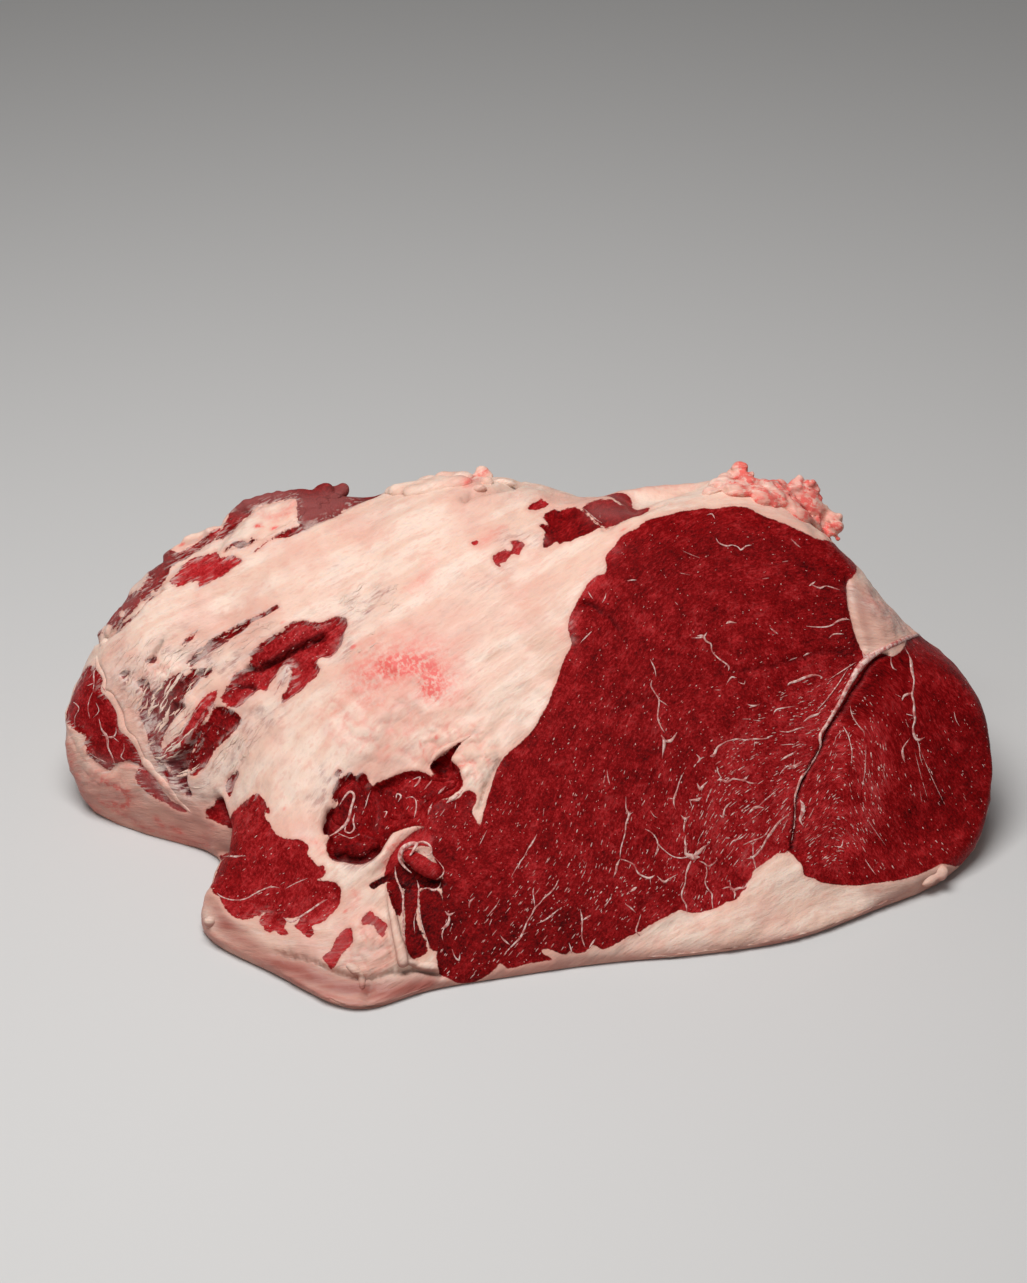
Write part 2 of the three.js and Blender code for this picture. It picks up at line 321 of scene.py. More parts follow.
    "holeB": (0.25, 2.0, 1.0, [121, 673, 129, 671, 130, 676, 124, 679]),
    "holeC": (0.25, 1.5, 1.0, [136, 681, 146, 679, 150, 685, 148, 697, 143, 691]),
}

# Fat inside the lean, drawn over it: outlines
fatIslands = {
    "leftEndSpot": [102, 683, 108, 685, 109, 690, 104, 694, 100, 690],
    "maroonSpotA": [121, 611, 126, 612, 124, 617, 119, 616],
    "maroonSpotB": [101, 626, 112, 625, 111, 631, 103, 633],
    "pocketFloor": [334, 800, 338, 804, 334, 808, 330, 806],
}

# Narrow hollows along a line: width in pixels, depth in mm (below zero they stand up as ridges),
# how much painted shade darkens them, and the line
creases = {
    "seamCrack": (1.6, 2.4, 0.75, [888, 654, 877, 659, 868, 668, 861, 680, 853, 691, 847, 702,
         838, 716, 829, 730, 823, 746, 814, 762, 804, 779, 799, 793, 797, 806, 796, 825, 793, 849]),
    "tornCrease": (2.6, 3.5, 0.7, [248, 668, 257, 668, 266, 663, 275, 659, 282, 654, 292, 648,
         303, 643, 322, 634]),
    "tornSlit": (2.2, 2.5, 0.8, [238, 685, 246, 684, 251, 687]),
    "rimFold": (1.8, 2.0, 0.6, [584, 602, 594, 605, 600, 610, 607, 614, 614, 620, 620, 628]),
    "rimFoldTop": (1.5, 1.0, 0.5, [627, 580, 634, 581, 639, 585]),
    "leanCrackA": (1.8, 1.6, 0.45, [733, 673, 750, 669, 768, 666, 785, 662, 803, 657, 822, 652,
         845, 652]),
    "leanCrackB": (2.2, 1.2, 0.3, [655, 697, 640, 702, 625, 708, 612, 715]),
    "leanCrackC": (1.8, 1.2, 0.35, [640, 906, 650, 897, 660, 889, 672, 879]),
    "leanCrackD": (1.8, 1.0, 0.3, [634, 812, 642, 798, 650, 786, 656, 770]),
    "flapFold": (3.0, 3.5, 0.25, [276, 953, 290, 957, 310, 961, 328, 969, 345, 975, 360, 978,
         378, 977, 394, 971, 402, 973, 415, 970, 428, 972, 441, 976]),
    "flapFoldEnd": (3.0, 2.0, 0.2, [372, 978, 370, 988, 366, 1000]),
    "flapNick": (1.8, 1.5, 0.2, [290, 951, 294, 957, 305, 953]),
    "fingerLeft": (2.4, 2.0, 0.1, [384, 884, 386, 905, 388, 930, 392, 950, 398, 966, 408, 970]),
    "fingerRight": (2.0, 1.8, 0.15, [396, 918, 402, 935, 407, 952, 417, 960, 414, 967]),
    "leftEndUnder": (2.4, 1.8, 0.2, [141, 767, 128, 763, 115, 766, 108, 772, 96, 765, 88, 757]),
    "leftEndRim": (2.4, 1.6, 0.25, [98, 668, 104, 680, 102, 690, 110, 695, 120, 714, 124, 731,
         136, 742, 142, 760]),
    "notch": (4.0, 5.0, 0.35, [219, 800, 223, 812, 224, 826, 222, 842, 221, 852]),
    "holeCrack": (1.6, 1.5, 0.5, [153, 657, 157, 650, 161, 644, 163, 639]),
    "rearGap": (3.0, 2.5, 0.15, [97, 641, 112, 631, 124, 621, 135, 610, 143, 600, 154, 592,
         168, 580, 180, 567]),
    "rearFold": (3.0, 2.5, 0.1, [306, 525, 318, 520, 332, 512, 346, 504, 360, 498, 380, 492]),
    "rearInset": (2.5, 1.5, 0.1, [250, 516, 240, 525, 228, 540, 215, 552]),
    "topFold": (3.0, 3.0, 0.2, [463, 498, 472, 494, 485, 491, 500, 489, 520, 482]),
    "topGap": (3.0, 2.5, 0.1, [604, 527, 618, 520, 632, 512, 648, 504, 662, 501]),
    "rimBehind": (13.0, 7.0, 0.0, [634, 494, 650, 488, 668, 481, 690, 474]),
    "topSeptum": (3.0, 2.0, 0.4, [470, 492, 464, 498]),
    "fatPleat": (2.5, 1.6, 0.2, [500, 762, 492, 775, 486, 790, 480, 808]),
    "fatPleatB": (2.0, 1.0, 0.1, [482, 770, 486, 785, 482, 800]),
    "wedgeFold": (3.0, 2.0, 0.1, [848, 578, 850, 600, 853, 620, 862, 648]),
    "pocketLip": (5.0, -2.6, 0.0, [372, 869, 385, 856, 395, 839, 408, 831, 422, 824]),
    "finger": (7.0, -2.6, 0.0, [389, 890, 392, 910, 396, 930, 401, 948, 403, 960]),
    "pocketStepA": (4.0, -2.6, 0.0, [327, 838, 340, 836, 352, 839, 362, 836, 376, 838, 392, 830]),
    "pocketStepB": (6.0, -2.0, 0.0, [371, 790, 377, 805, 372, 822, 362, 836]),
    "pocketHole": (4.0, 3.0, 0.6, [330, 812, 327, 822, 328, 832]),
    "pocketDeep": (5.0, 3.0, 0.45, [335, 853, 350, 858, 365, 857, 376, 850]),
}

# Colour laid over the skin along lines, by layer: width in pixels, how strong (for the tone, which
# tone), and the line
stains = {
    # painted shade: darker, red-brown fat along the low and shaded edges
    "shade": [
        (17, 0.95, [225, 925, 262, 955, 300, 972, 335, 985, 380, 992, 430, 984]),
        (24, 0.3, [250, 922, 300, 948, 345, 958, 385, 958]),
        (13, 0.7, [66, 760, 80, 800, 112, 830, 160, 842]),
        (9, 0.3, [880, 892, 912, 884, 948, 872]),
        (8, 0.5, [62, 730, 72, 776, 98, 812, 150, 838, 205, 854]),
        (12, 0.8, [212, 900, 232, 930, 262, 958, 300, 985, 345, 1004, 385, 1006, 430, 991]),
        (9, 0.3, [440, 992, 560, 976, 700, 960, 840, 930, 900, 905]),
        (12, 0.45, [870, 890, 905, 892, 940, 884]),
        (8, 0.5, [855, 585, 862, 615, 868, 640]),
        (6, 0.5, [445, 985, 500, 978, 560, 972]),
    ],
    "blush": [
        # painted shade: pinker along the shaded outer edge of the left end
        (10, 0.7, [66, 745, 80, 795, 110, 824]),
        (14, 0.5, [98, 776, 112, 784, 124, 796, 120, 806]),
        (9, 0.35, [338, 930, 352, 926, 382, 944, 372, 968]),
        (6, 1.0, [384, 868, 398, 852, 420, 838]),
        (10, 0.45, [868, 596, 890, 618, 905, 630]),
        (34, 0.75, [366, 676, 396, 664, 428, 662, 440, 684]),
        (23, 1.1, [386, 668, 412, 664, 430, 674, 432, 688]),
        (9, 0.35, [410, 590, 425, 575, 432, 562]),
        (8, 0.4, [480, 545, 492, 535, 504, 530]),
        (7, 0.6, [262, 512, 275, 518, 292, 508, 296, 500]),
        (3, 1.0, [256, 526, 262, 526]),
        (2.5, 1.0, [272, 529, 277, 527]),
        (8, 0.5, [880, 605, 900, 616, 915, 628]),
        (7, 0.8, [466, 483, 475, 478, 486, 472]),
        (7, 0.9, [104, 780, 118, 788, 128, 796, 126, 806, 110, 803]),
        (4, 0.9, [155, 819, 163, 827]),
        (4, 0.9, [172, 828, 181, 833]),
        # painted shade: pinker along the shaded low edge of the left end
        (5, 0.7, [100, 800, 140, 826, 180, 840, 208, 846]),
        (6, 0.4, [120, 765, 145, 772, 170, 790]),
        (6, 0.5, [206, 836, 214, 826, 220, 815]),
        (5, 0.5, [300, 840, 315, 842, 322, 852]),
        (4, 0.5, [350, 905, 358, 898, 352, 890]),
        (7, 0.9, [392, 850, 405, 842, 424, 834]),
        (3, 0.9, [457, 769, 466, 764, 472, 762]),
        (3, 0.4, [468, 740, 475, 730, 472, 726]),
        (2, 0.7, [420, 742, 424, 752, 428, 762]),
        (5, 0.35, [560, 630, 566, 640]),
        (12, 0.25, [320, 715, 335, 735, 350, 745]),
        # painted shade: pinker along the shaded low edge of the flap
        (6, 0.35, [205, 930, 300, 985, 360, 1000, 440, 985]),
    ],
    "veil": [
        (9, 0.4, [866, 588, 880, 604, 900, 622]),
        (17, 1.0, [128, 680, 145, 705, 156, 735, 165, 770, 178, 790]),
        (12, 0.6, [120, 650, 140, 665, 160, 690]),
        (10, 0.6, [165, 650, 185, 655, 215, 650]),
        (9, 0.9, [205, 655, 222, 668, 238, 660]),
        (14, 0.7, [242, 745, 252, 730, 275, 712]),
        (12, 0.7, [206, 790, 222, 768, 240, 758]),
        (9, 0.8, [345, 612, 365, 600, 388, 592]),
        (7, 0.8, [320, 770, 330, 780, 322, 800]),
        (6, 0.6, [330, 568, 342, 562]),
        (9, 0.4, [300, 800, 318, 792]),
        (10, 0.45, [855, 590, 870, 606, 880, 620]),
        (8, 0.5, [112, 690, 122, 705]),
        (10, 0.55, [196, 655, 215, 662, 232, 672]),
        (10, 0.55, [340, 640, 352, 625, 372, 605]),
        (7, 0.6, [348, 640, 345, 655, 335, 662]),
        (5, 1.0, [360, 610, 367, 612]),
        (6, 1.0, [277, 690, 284, 675, 288, 662]),
        (12, 0.5, [505, 540, 520, 536, 536, 545]),
        (14, 0.35, [459, 578, 480, 585, 505, 572]),
        (8, 0.6, [243, 728, 252, 716, 262, 708]),
        (12, 0.55, [205, 776, 220, 760, 240, 745]),
        (7, 0.5, [196, 782, 204, 790]),
        (6, 0.6, [317, 790, 316, 805, 311, 812]),
        (5, 0.4, [330, 775, 325, 785]),
        (7, 0.7, [340, 862, 356, 868, 372, 862]),
        (9, 0.3, [325, 590, 345, 575]),
        (5, 0.35, [495, 770, 500, 755]),
        (5, 0.4, [570, 622, 573, 640]),
    ],
    "dull": [
        (9, 0.8, [95, 762, 125, 770, 150, 785, 180, 808]),
        (26, 0.45, [150, 670, 160, 700, 158, 740]),
        (8, 0.5, [331, 955, 345, 938]),
        (8, 0.7, [366, 918, 384, 932]),
        (17, 1.0, [240, 505, 270, 496, 310, 505, 330, 500, 345, 492]),
        (14, 1.0, [300, 515, 320, 508, 340, 498]),
        (12, 0.7, [595, 510, 615, 510, 635, 502]),
        (8, 0.6, [575, 492, 600, 490, 620, 490]),
        (11, 0.8, [95, 635, 115, 615, 135, 598]),
        (10, 0.5, [145, 592, 155, 575, 168, 558]),
        (8, 0.35, [215, 545, 195, 552]),
        (8, 0.8, [360, 490, 380, 488]),
    ],
    "tone": [
        (26, 0.8, [745, 760, 730, 820, 760, 850, 790, 780, 820, 720, 840, 690]),
        (24, 0.64, [852, 705, 868, 740, 876, 790, 850, 840]),
        (9, 0.75, [585, 590, 592, 580, 602, 578]),
        (9, 0.66, [575, 620, 580, 632, 590, 626]),
        (8, 0.7, [612, 555, 620, 545, 632, 536]),
        (40, 0.56, [700, 850, 720, 830, 750, 790, 790, 730]),
        (36, 0.3, [450, 960, 500, 930, 560, 930]),
        (22, 0.28, [440, 900, 455, 930]),
        (26, 0.34, [780, 545, 830, 590, 845, 640]),
        (30, 0.4, [640, 550, 700, 535, 760, 550]),
        (14, 0.3, [880, 675, 865, 700, 850, 715]),
        (22, 0.6, [840, 740, 830, 780, 815, 830]),
        (30, 0.36, [930, 810, 960, 790, 975, 740]),
        (16, 0.6, [700, 880, 730, 885, 690, 900]),
        (12, 0.62, [770, 840, 780, 830]),
        (9, 0.75, [330, 905, 318, 918, 300, 925]),
        (9, 0.8, [265, 925, 282, 930]),
        (18, 0.42, [232, 850, 225, 880]),
        (16, 0.45, [270, 880, 300, 870]),
        (8, 0.85, [206, 700, 212, 695]),
        (7, 0.7, [235, 700, 228, 703]),
        (5, 0.4, [272, 668, 280, 664]),
        (6, 0.8, [262, 690, 258, 684]),
        (10, 0.46, [340, 790, 352, 784, 362, 780]),
        (10, 0.5, [400, 782, 420, 785]),
        (10, 0.6, [410, 805, 418, 815]),
        (5, 0.7, [444, 770, 456, 768]),
        (3, 0.75, [452, 752, 446, 760]),
        (8, 0.62, [440, 785, 455, 780]),
    ],
}

# Lie of the streaks in the fat and of the muscle fibres: x, y and degrees up from the right
fatArrows = [
    75, 720, 70, 110, 650, 55, 140, 700, 62, 110, 790, -25, 170, 820, -25, 190, 600, 30,
    230, 620, 27, 240, 670, 40, 240, 760, 58, 270, 560, 27, 300, 610, 30, 300, 720, 50,
    310, 780, 62, 340, 540, 26, 350, 680, 38, 380, 600, 28, 380, 740, 52, 430, 510, 20,
    430, 620, 32, 440, 700, 50, 460, 560, 27, 490, 740, 64, 500, 660, 48, 520, 520, 20,
    520, 600, 38, 540, 690, 62, 560, 560, 38, 570, 610, 55, 600, 530, 36, 640, 510, 28,
    700, 490, 18, 760, 495, -5, 810, 520, -30, 870, 610, -38, 890, 640, 12, 480, 790, 72,
    230, 930, -28, 280, 970, -30, 340, 990, -25, 300, 950, -12, 350, 900, 25, 390, 930, 76,
    400, 985, 2, 540, 965, 12, 640, 940, 20, 720, 915, 18, 790, 880, 35, 850, 895, 8, 930, 875, 18,
]
leanArrows = [
    450, 960, 48, 470, 900, 52, 470, 840, 55, 490, 820, 62, 510, 930, 50, 520, 780, 66,
    540, 880, 52, 560, 700, 60, 570, 800, 76, 580, 920, 55, 600, 600, 62, 600, 850, 74,
    610, 725, 62, 625, 820, 82, 640, 560, 38, 650, 640, 70, 650, 900, 42, 660, 740, 80,
    690, 530, 20, 690, 800, 70, 700, 880, 72, 715, 650, 60, 720, 750, 30, 740, 700, 14,
    750, 800, 32, 755, 850, 48, 760, 540, -8, 780, 620, 12, 790, 690, 10, 790, 730, 10,
    800, 760, 30, 820, 640, 8, 830, 580, -20, 840, 690, 48, 780, 830, 62, 400, 930, 88,
    430, 930, 84, 390, 800, 60, 350, 810, 70, 345, 850, -10, 440, 790, 35, 260, 860, 40,
    240, 820, 48, 300, 900, 28, 230, 900, 10, 335, 945, 55, 180, 730, 55, 215, 735, 52,
    225, 645, 33, 260, 660, 35, 310, 650, 33, 300, 680, 60, 110, 730, 62, 200, 570, 30,
    260, 500, 15, 320, 505, 30, 570, 525, 25, 610, 510, 20,
]
eyeArrows = [
    870, 680, 52, 845, 730, 78, 830, 760, 74, 815, 800, 68, 820, 860, 40, 860, 700, -62,
    865, 740, -86, 860, 780, -84, 860, 830, -66, 885, 670, -75, 900, 720, -80, 900, 780, -74,
    880, 860, -58, 925, 700, -76, 940, 760, -58, 925, 800, -62, 960, 700, -62, 970, 760, -60,
    960, 820, -55, 930, 850, -45,
]

# Crowds of small fat lobules: how far apart they sit in pixels, how high they swell in mm, outline
lobuleAreas = [
    (17, 1.9, [425, 728, 450, 718, 486, 724, 500, 745, 494, 768, 474, 784, 440, 784, 420, 766]),
    (19, 1.9, [352, 920, 372, 908, 388, 925, 394, 958, 388, 980, 356, 982, 336, 968, 342, 944]),
    (22, 0.8, [330, 690, 400, 690, 440, 722, 420, 762, 360, 758, 330, 730]),
    (17, 1.4, [150, 660, 184, 668, 190, 700, 160, 712, 140, 690]),
    (19, 1.5, [78, 770, 110, 768, 134, 790, 124, 818, 96, 806]),
    (17, 1.2, [72, 706, 84, 742, 104, 768, 88, 774, 66, 742, 62, 712]),
]


def flowOver(arrows):
    # Two smooth fields over the photograph whose slopes run across and along the arrows, in mm
    step, top, bottom = 16.0, 400, 1060  # pixels
    reach = 18.0  # pixels from an arrow where its pull begins to fall
    xs = np.arange(0, shot["width"] + step, step)
    ys = np.arange(top, bottom + step, step)
    gridX, gridY = np.meshgrid(xs, ys)
    rows = spotsOf(arrows, 3)
    turns = np.radians(rows[:, 2])
    away = (gridX[..., None] - rows[:, 0]) ** 2 + (gridY[..., None] - rows[:, 1]) ** 2
    weight = 1 / (away + reach**2) ** 2
    weight /= weight.sum(axis=-1, keepdims=True)
    flowX = (weight * np.cos(turns)).sum(axis=-1)
    flowY = -(weight * np.sin(turns)).sum(axis=-1)
    length = np.hypot(flowX, flowY) + 1e-6
    flowX, flowY = flowX / length, flowY / length

    def cosines(count):
        rows = np.cos(np.pi * np.outer(np.arange(count), np.arange(count) + 0.5) / count)
        rows[0] *= math.sqrt(0.5)
        return rows * math.sqrt(2.0 / count)

    acrossRows, acrossColumns = cosines(len(ys)), cosines(len(xs))
    bendY = 2 - 2 * np.cos(np.pi * np.arange(len(ys)) / len(ys))
    bendX = 2 - 2 * np.cos(np.pi * np.arange(len(xs)) / len(xs))
    bend = bendY[:, None] + bendX[None, :]
    bend[0, 0] = 1

    def height(slopeX, slopeY):
        # Least squares surface with these slopes
        midX = (slopeX[:, 1:] + slopeX[:, :-1]) / 2
        midY = (slopeY[1:] + slopeY[:-1]) / 2
        spread = np.zeros_like(slopeX)
        spread[:, :-1] += midX
        spread[:, 1:] -= midX
        spread[:-1] += midY
        spread[1:] -= midY
        parts = acrossRows @ spread @ acrossColumns.T
        parts = parts / -bend
        parts[0, 0] = 0
        return acrossRows.T @ parts @ acrossColumns * step * pixelSize

    return {
        "corner": (xs[0], ys[0]),
        "step": step,
        "across": height(flowY, -flowX),
        "along": height(flowX, flowY),
        "flowX": flowX,
        "flowY": flowY,
    }


def readField(flow, name, spots):
    grid = flow[name]
    left, upper = flow["corner"]
    x = np.clip((spots[:, 0] - left) / flow["step"], 0, grid.shape[1] - 1.001)
    y = np.clip((spots[:, 1] - upper) / flow["step"], 0, grid.shape[0] - 1.001)
    ix, iy = x.astype(int), y.astype(int)
    fx, fy = x - ix, y - iy
    top = grid[iy, ix] * (1 - fx) + grid[iy, ix + 1] * fx
    low = grid[iy + 1, ix] * (1 - fx) + grid[iy + 1, ix + 1] * fx
    return top * (1 - fy) + low * fy


def curveOf(outline, steps=2):
    return smoothLine(spotsOf(outline), closed=True, steps=steps)


print("fields")
fatFlow = flowOver(fatArrows)
leanFlow = flowOver(leanArrows)
eyeFlow = flowOver(eyeArrows)
patchCurves = {name: curveOf(patch[3]) for name, patch in leanPatches.items()}
islandCurves = [curveOf(outline) for outline in fatIslands.values()]
lobuleCurves = [curveOf(outline, 3) for _, _, outline in lobuleAreas]

skinSettings = {
    "fine": 1.25,  # mm, length of an edge near a border of lean
    "plain": 2.3,  # mm, elsewhere on the side that the camera sees
    "back": 3.4,
    "sole": 12.0,
    "passes": 5,
    "tooLong": 1.35,  # an edge is halved when it is this many times as long as it should be
    "relax": 0.35,  # how much each pass evens out the faces
    "held": 1.5,  # mm; the sole below this height is left as it is
    "lumps": 0.8,  # mm, soft unevenness
    "folds": 0.55,  # mm, smaller folds in the fat
    "streaks": 0.26,  # mm, ridges along the streaks in the fat
    "valleys": 0.42,  # how pink it is between the lobules
}

# Lean on the sides that the photograph does not show. Noise: size in mm, stretch in height, shift,
# swing and how far it starts below the border of the lean
backSettings = {
    "patches": (46.0, 1.8, 3.1, 9, 6.4),
    "torn": (17.0, 2.2, 8.4, 5, 4.2),
    "eyeMuscle": (172, 8, 45),  # mm, the middle of the lean under the eye muscle's end
    # mm in plan, the middle of the bare muscle behind the left end, and the height it starts at
    "rear": [-222, 62, -196, 84, -168, 98, -138, 106, -108, 110, -84, 112],
    "rearHeight": 40,
}

tornSettings = {
    "columns": (385, 340),  # pixels; the lean is torn left of these
    "rows": (815, 780),  # and above these
    "least": 0.3,
    # small islands of lean on the flap whose borders are a little torn: x, y and reach in pixels
    "islands": [(262, 925, 34), (312, 918, 34), (338, 950, 26), (376, 926, 24), (330, 860, 22)],
    "island": 0.55,
    "cut": 0.1,  # on the two cut muscles
}

lobuleSettings = {
    "seed": 53,
    "margin": 20,  # pixels around an area
    "scatter": 0.45,  # of the space between lobules
    "squash": 0.8,  # rows are closer than columns
    "bend": 5,  # pixels that the valleys wander
    "bendSize": 15.0,  # pixels from one bend to the next
    "valley": 0.35,  # share of a lobule that is valley
}


def leanInside(spots):
    # mm inside the lean that the photograph shows, below zero in the fat
    best = np.full(len(spots), -farOff)
    for curve in patchCurves.values():
        best = np.maximum(best, insideOf(spots, curve))
    for curve in islandCurves:
        best = np.minimum(best, -insideOf(spots, curve))
    return best * pixelSize


def wantedEdge(points, normals):
    # mm; edges are shortest at the borders of the lean and on the lobules
    front = smoothStep(-0.2, 0.05, facingShot(points, normals))
    inside = np.full(len(points), -farOff * pixelSize)
    seen = front > 0
    spots = toPixel(points[seen])
    inside[seen] = leanInside(spots)
    nearBorder = np.exp(-((inside / 5.0) ** 2)) + 0.35 * smoothStep(-1, 1, inside)
    for curve in lobuleCurves:
        nearBorder[seen] += 0.8 * smoothStep(-3, 3, insideOf(spots, curve))
    fine = lerp(skinSettings["plain"], skinSettings["fine"], np.clip(nearBorder, 0, 1))
    size = lerp(skinSettings["back"], fine, front)
    onSole = smoothStep(3.0, 0.5, points[:, 2])
    return lerp(size, skinSettings["sole"], onSole)


def fatLobules(spots):
    # mm that the lobules stand up, and 1 in the sharp valleys between them
    lift, valley = np.zeros(len(spots)), np.zeros(len(spots))
    draw = np.random.RandomState(lobuleSettings["seed"])
    margin, scatter = lobuleSettings["margin"], lobuleSettings["scatter"]
    for (spacing, rise, outline), curve in zip(lobuleAreas, lobuleCurves):
        area = spotsOf(outline)
        rowSpacing = spacing * lobuleSettings["squash"]
        corner, far = area.min(axis=0) - margin, area.max(axis=0) + margin
        grid = np.mgrid[corner[0]:far[0]:spacing, corner[1]:far[1]:rowSpacing]
        strays = draw.uniform(-scatter, scatter, (grid[0].size, 2)) * spacing
        hearts = grid.reshape(2, -1).T + strays
        picked = np.flatnonzero(np.all((spots > corner) & (spots < far), axis=1))
        if not len(picked):
            continue
        flat = np.column_stack([spots[picked], np.zeros(len(picked))])
        bends = [noiseAt(flat, lobuleSettings["bendSize"], shift) for shift in (1.0, 6.0)]
        bent = spots[picked] + np.stack(bends, axis=1) * lobuleSettings["bend"]
        gaps = np.sort(np.linalg.norm(bent[:, None] - hearts[None], axis=2), axis=1)
        apart = (gaps[:, 1] - gaps[:, 0]) / rowSpacing
        share = smoothStep(-3, 7, insideOf(spots[picked], curve))
        lift[picked] += rise * np.sqrt(np.clip(apart, 0, 1)) * share
        between = (1 - smoothStep(0.0, lobuleSettings["valley"], apart)) * share
        valley[picked] = np.maximum(valley[picked], between)
    return lift, valley


def meshArrays(verts):
    points = np.array([v.co[:] for v in verts]) / mm
    normals = np.array([v.normal[:] for v in verts])
    return points, normals


def evenOut(bm, verts, factor):
    bmesh.ops.smooth_vert(
        bm, verts=verts, factor=factor, use_axis_x=True, use_axis_y=True, use_axis_z=True
    )


def refineSkin(bm):
    for _ in range(skinSettings["passes"]):
        bm.verts.index_update()
        bm.normal_update()
        points, normals = meshArrays(bm.verts)
        ends = np.array([(e.verts[0].index, e.verts[1].index) for e in bm.edges])
        length = np.linalg.norm(points[ends[:, 0]] - points[ends[:, 1]], axis=1)
        tooLong = length > skinSettings["tooLong"] * skinSettings["fine"]
        asked = ends[tooLong]
        wanted = wantedEdge(points[asked].mean(axis=1), normals[asked].mean(axis=1))
        tooLong[tooLong] = length[tooLong] > skinSettings["tooLong"] * wanted
        picked = [e for e, isLong in zip(bm.edges, tooLong) if isLong]
        if not picked:
            break
        bmesh.ops.subdivide_edges(bm, edges=picked, cuts=1)
        bmesh.ops.triangulate(bm, faces=[f for f in bm.faces if len(f.verts) > 3])
        free = [v for v in bm.verts if v.co.z > skinSettings["held"] * mm]
        evenOut(bm, free, skinSettings["relax"])


def backLean(points):
    # mm inside the lean on the sides that the photograph does not show
    def noisePatches(size, tall, shift, swing, below):
        return noiseAt(points * (1, 1, tall), size, shift) * swing - below

    x, y, z = points.T
    eyeX, eyeY, eyeZ = backSettings["eyeMuscle"]
    fromEye = np.sqrt(((x - eyeX) / 1.6) ** 2 + (y - eyeY) ** 2 + ((z - eyeZ) / 1.1) ** 2)
    eyeSide = 16 - fromEye * 0.35
    patches = noisePatches(*backSettings["patches"])
    torn = noisePatches(*backSettings["torn"])
    rear = smoothLine(spotsOf(backSettings["rear"]), steps=2)
    rearSheet = 20 - distanceToLine(points[:, :2], rear) * 0.9 + noiseAt(points, 13.0, 4.4) * 7
    rearSheet = np.where(z > backSettings["rearHeight"], rearSheet, allFat)
    return np.maximum(np.maximum(eyeSide, patches), np.maximum(torn, rearSheet))


def tornness(spots):
    # 1 where the lean is torn at the left, less where it is cut, least on the two cut muscles
    left = smoothStep(*tornSettings["columns"], spots[:, 0])
    upper = smoothStep(*tornSettings["rows"], spots[:, 1])
    torn = tornSettings["least"] + (1 - tornSettings["least"]) * left * upper
    for x, y, reach in tornSettings["islands"]:
        away = np.hypot(spots[:, 0] - x, spots[:, 1] - y) / reach
        torn = np.maximum(torn, tornSettings["island"] * np.exp(-(away**4)))
    for name in ("bigMuscle", "eyeMuscle"):
        cut = smoothStep(-8, -3, insideOf(spots, patchCurves[name]))
        torn = np.minimum(torn, 1 - (1 - tornSettings["cut"]) * cut)
    return torn


def skinFields(points, normals):
    # The layers that the materials read, and how far the skin sinks in mm
    spots = toPixel(points)
    front = smoothStep(-0.12, 0.1, facingShot(points, normals))
    sole = smoothStep(6.0, 1.0, points[:, 2]) * (1 - front)
    lean = np.clip(lerp(backLean(points), leanInside(spots), front), allFat, allLean)
    lean = lerp(lean, allFat, sole)
    fields = {
        "lean": lean,
        "tone": 0.42 + 0.12 * noiseAt(points, 38.0, 5.0),
        "dull": 0.5 * (1 - front) * smoothStep(-0.6, 0.6, noiseAt(points, 20.0, 3.3)),
        "veil": 0.25 * (1 - front) * smoothStep(0, 0.8, noiseAt(points, 33.0, 1.7)),
        "blush": 0.4 * (1 - front) * smoothStep(0.1, 0.9, noiseAt(points, 30.0, 6.2)),
        "dark": np.zeros(len(points)),
        "torn": tornness(spots),
        # painted shade: fat low down that faces sideways or down is darker and redder
        "shade": 0.75 * smoothStep(52, 8, points[:, 2]) * smoothStep(0.75, 0.05, normals[:, 2]),
        "sink": smoothStep(-1.0, 2.5, lean) * (1 - front),
    }
    for name, (tone, sink, ramp, _) in leanPatches.items():
        inside = insideOf(spots, patchCurves[name]) * pixelSize
        share = smoothStep(-1.2, 1.2, inside) * front
        fields["tone"] = lerp(fields["tone"], tone, share)
        fields["sink"] += sink * smoothStep(-0.4, ramp, inside) * front
    for layer, rows in stains.items():
        for width, value, line in rows:
            away = distanceToLine(spots, smoothLine(spotsOf(line), steps=3))
            share = np.exp(-((away / width) ** 2) * 1.6) * front
            if layer == "tone":
                fields[layer] = lerp(fields[layer], value, share)
            else:
                fields[layer] = np.maximum(fields[layer], share * value)
    for width, depth, dark, line in creases.values():
        away = distanceToLine(spots, smoothLine(spotsOf(line), steps=3))
        share = np.exp(-((away / width) ** 2)) * front
        fields["sink"] += depth * share
        # painted shade in the crease
        fields["dark"] = np.maximum(fields["dark"], dark * share)
    depth = (points - eyePoint) @ lookAlong - shot["distance"]
    inEye = insideOf(spots, patchCurves["eyeMuscle"]) > -0.5
    for name, flow in (("fatGrain", fatFlow), ("leanGrain", leanFlow)):
        across, along = (readField(flow, way, spots) for way in ("across", "along"))
        if name == "leanGrain":
            across = np.where(inEye, readField(eyeFlow, "across", spots), across)
            along = np.where(inEye, readField(eyeFlow, "along", spots), along)
        fields[name] = np.stack([across, along, 0.35 * depth], axis=1)
    return fields


def writeLayer(mesh, name, values):
    kind, field = ("FLOAT", "value") if values.ndim == 1 else ("FLOAT_VECTOR", "vector")
    layer = mesh.attributes.new(name, kind, "POINT")
    layer.data.foreach_set(field, values.astype(np.float32).ravel())


def addObject(name, data):
    made = bpy.data.objects.new(name, data)
    bpy.context.scene.collection.objects.link(made)
    return made


def meshFrom(name, bm):
    mesh = bpy.data.meshes.new(name)
    bm.to_mesh(mesh)
    bm.free()
    return mesh


def addMesh(bm, mesh):
    bm.from_mesh(mesh)
    bpy.data.meshes.remove(mesh)


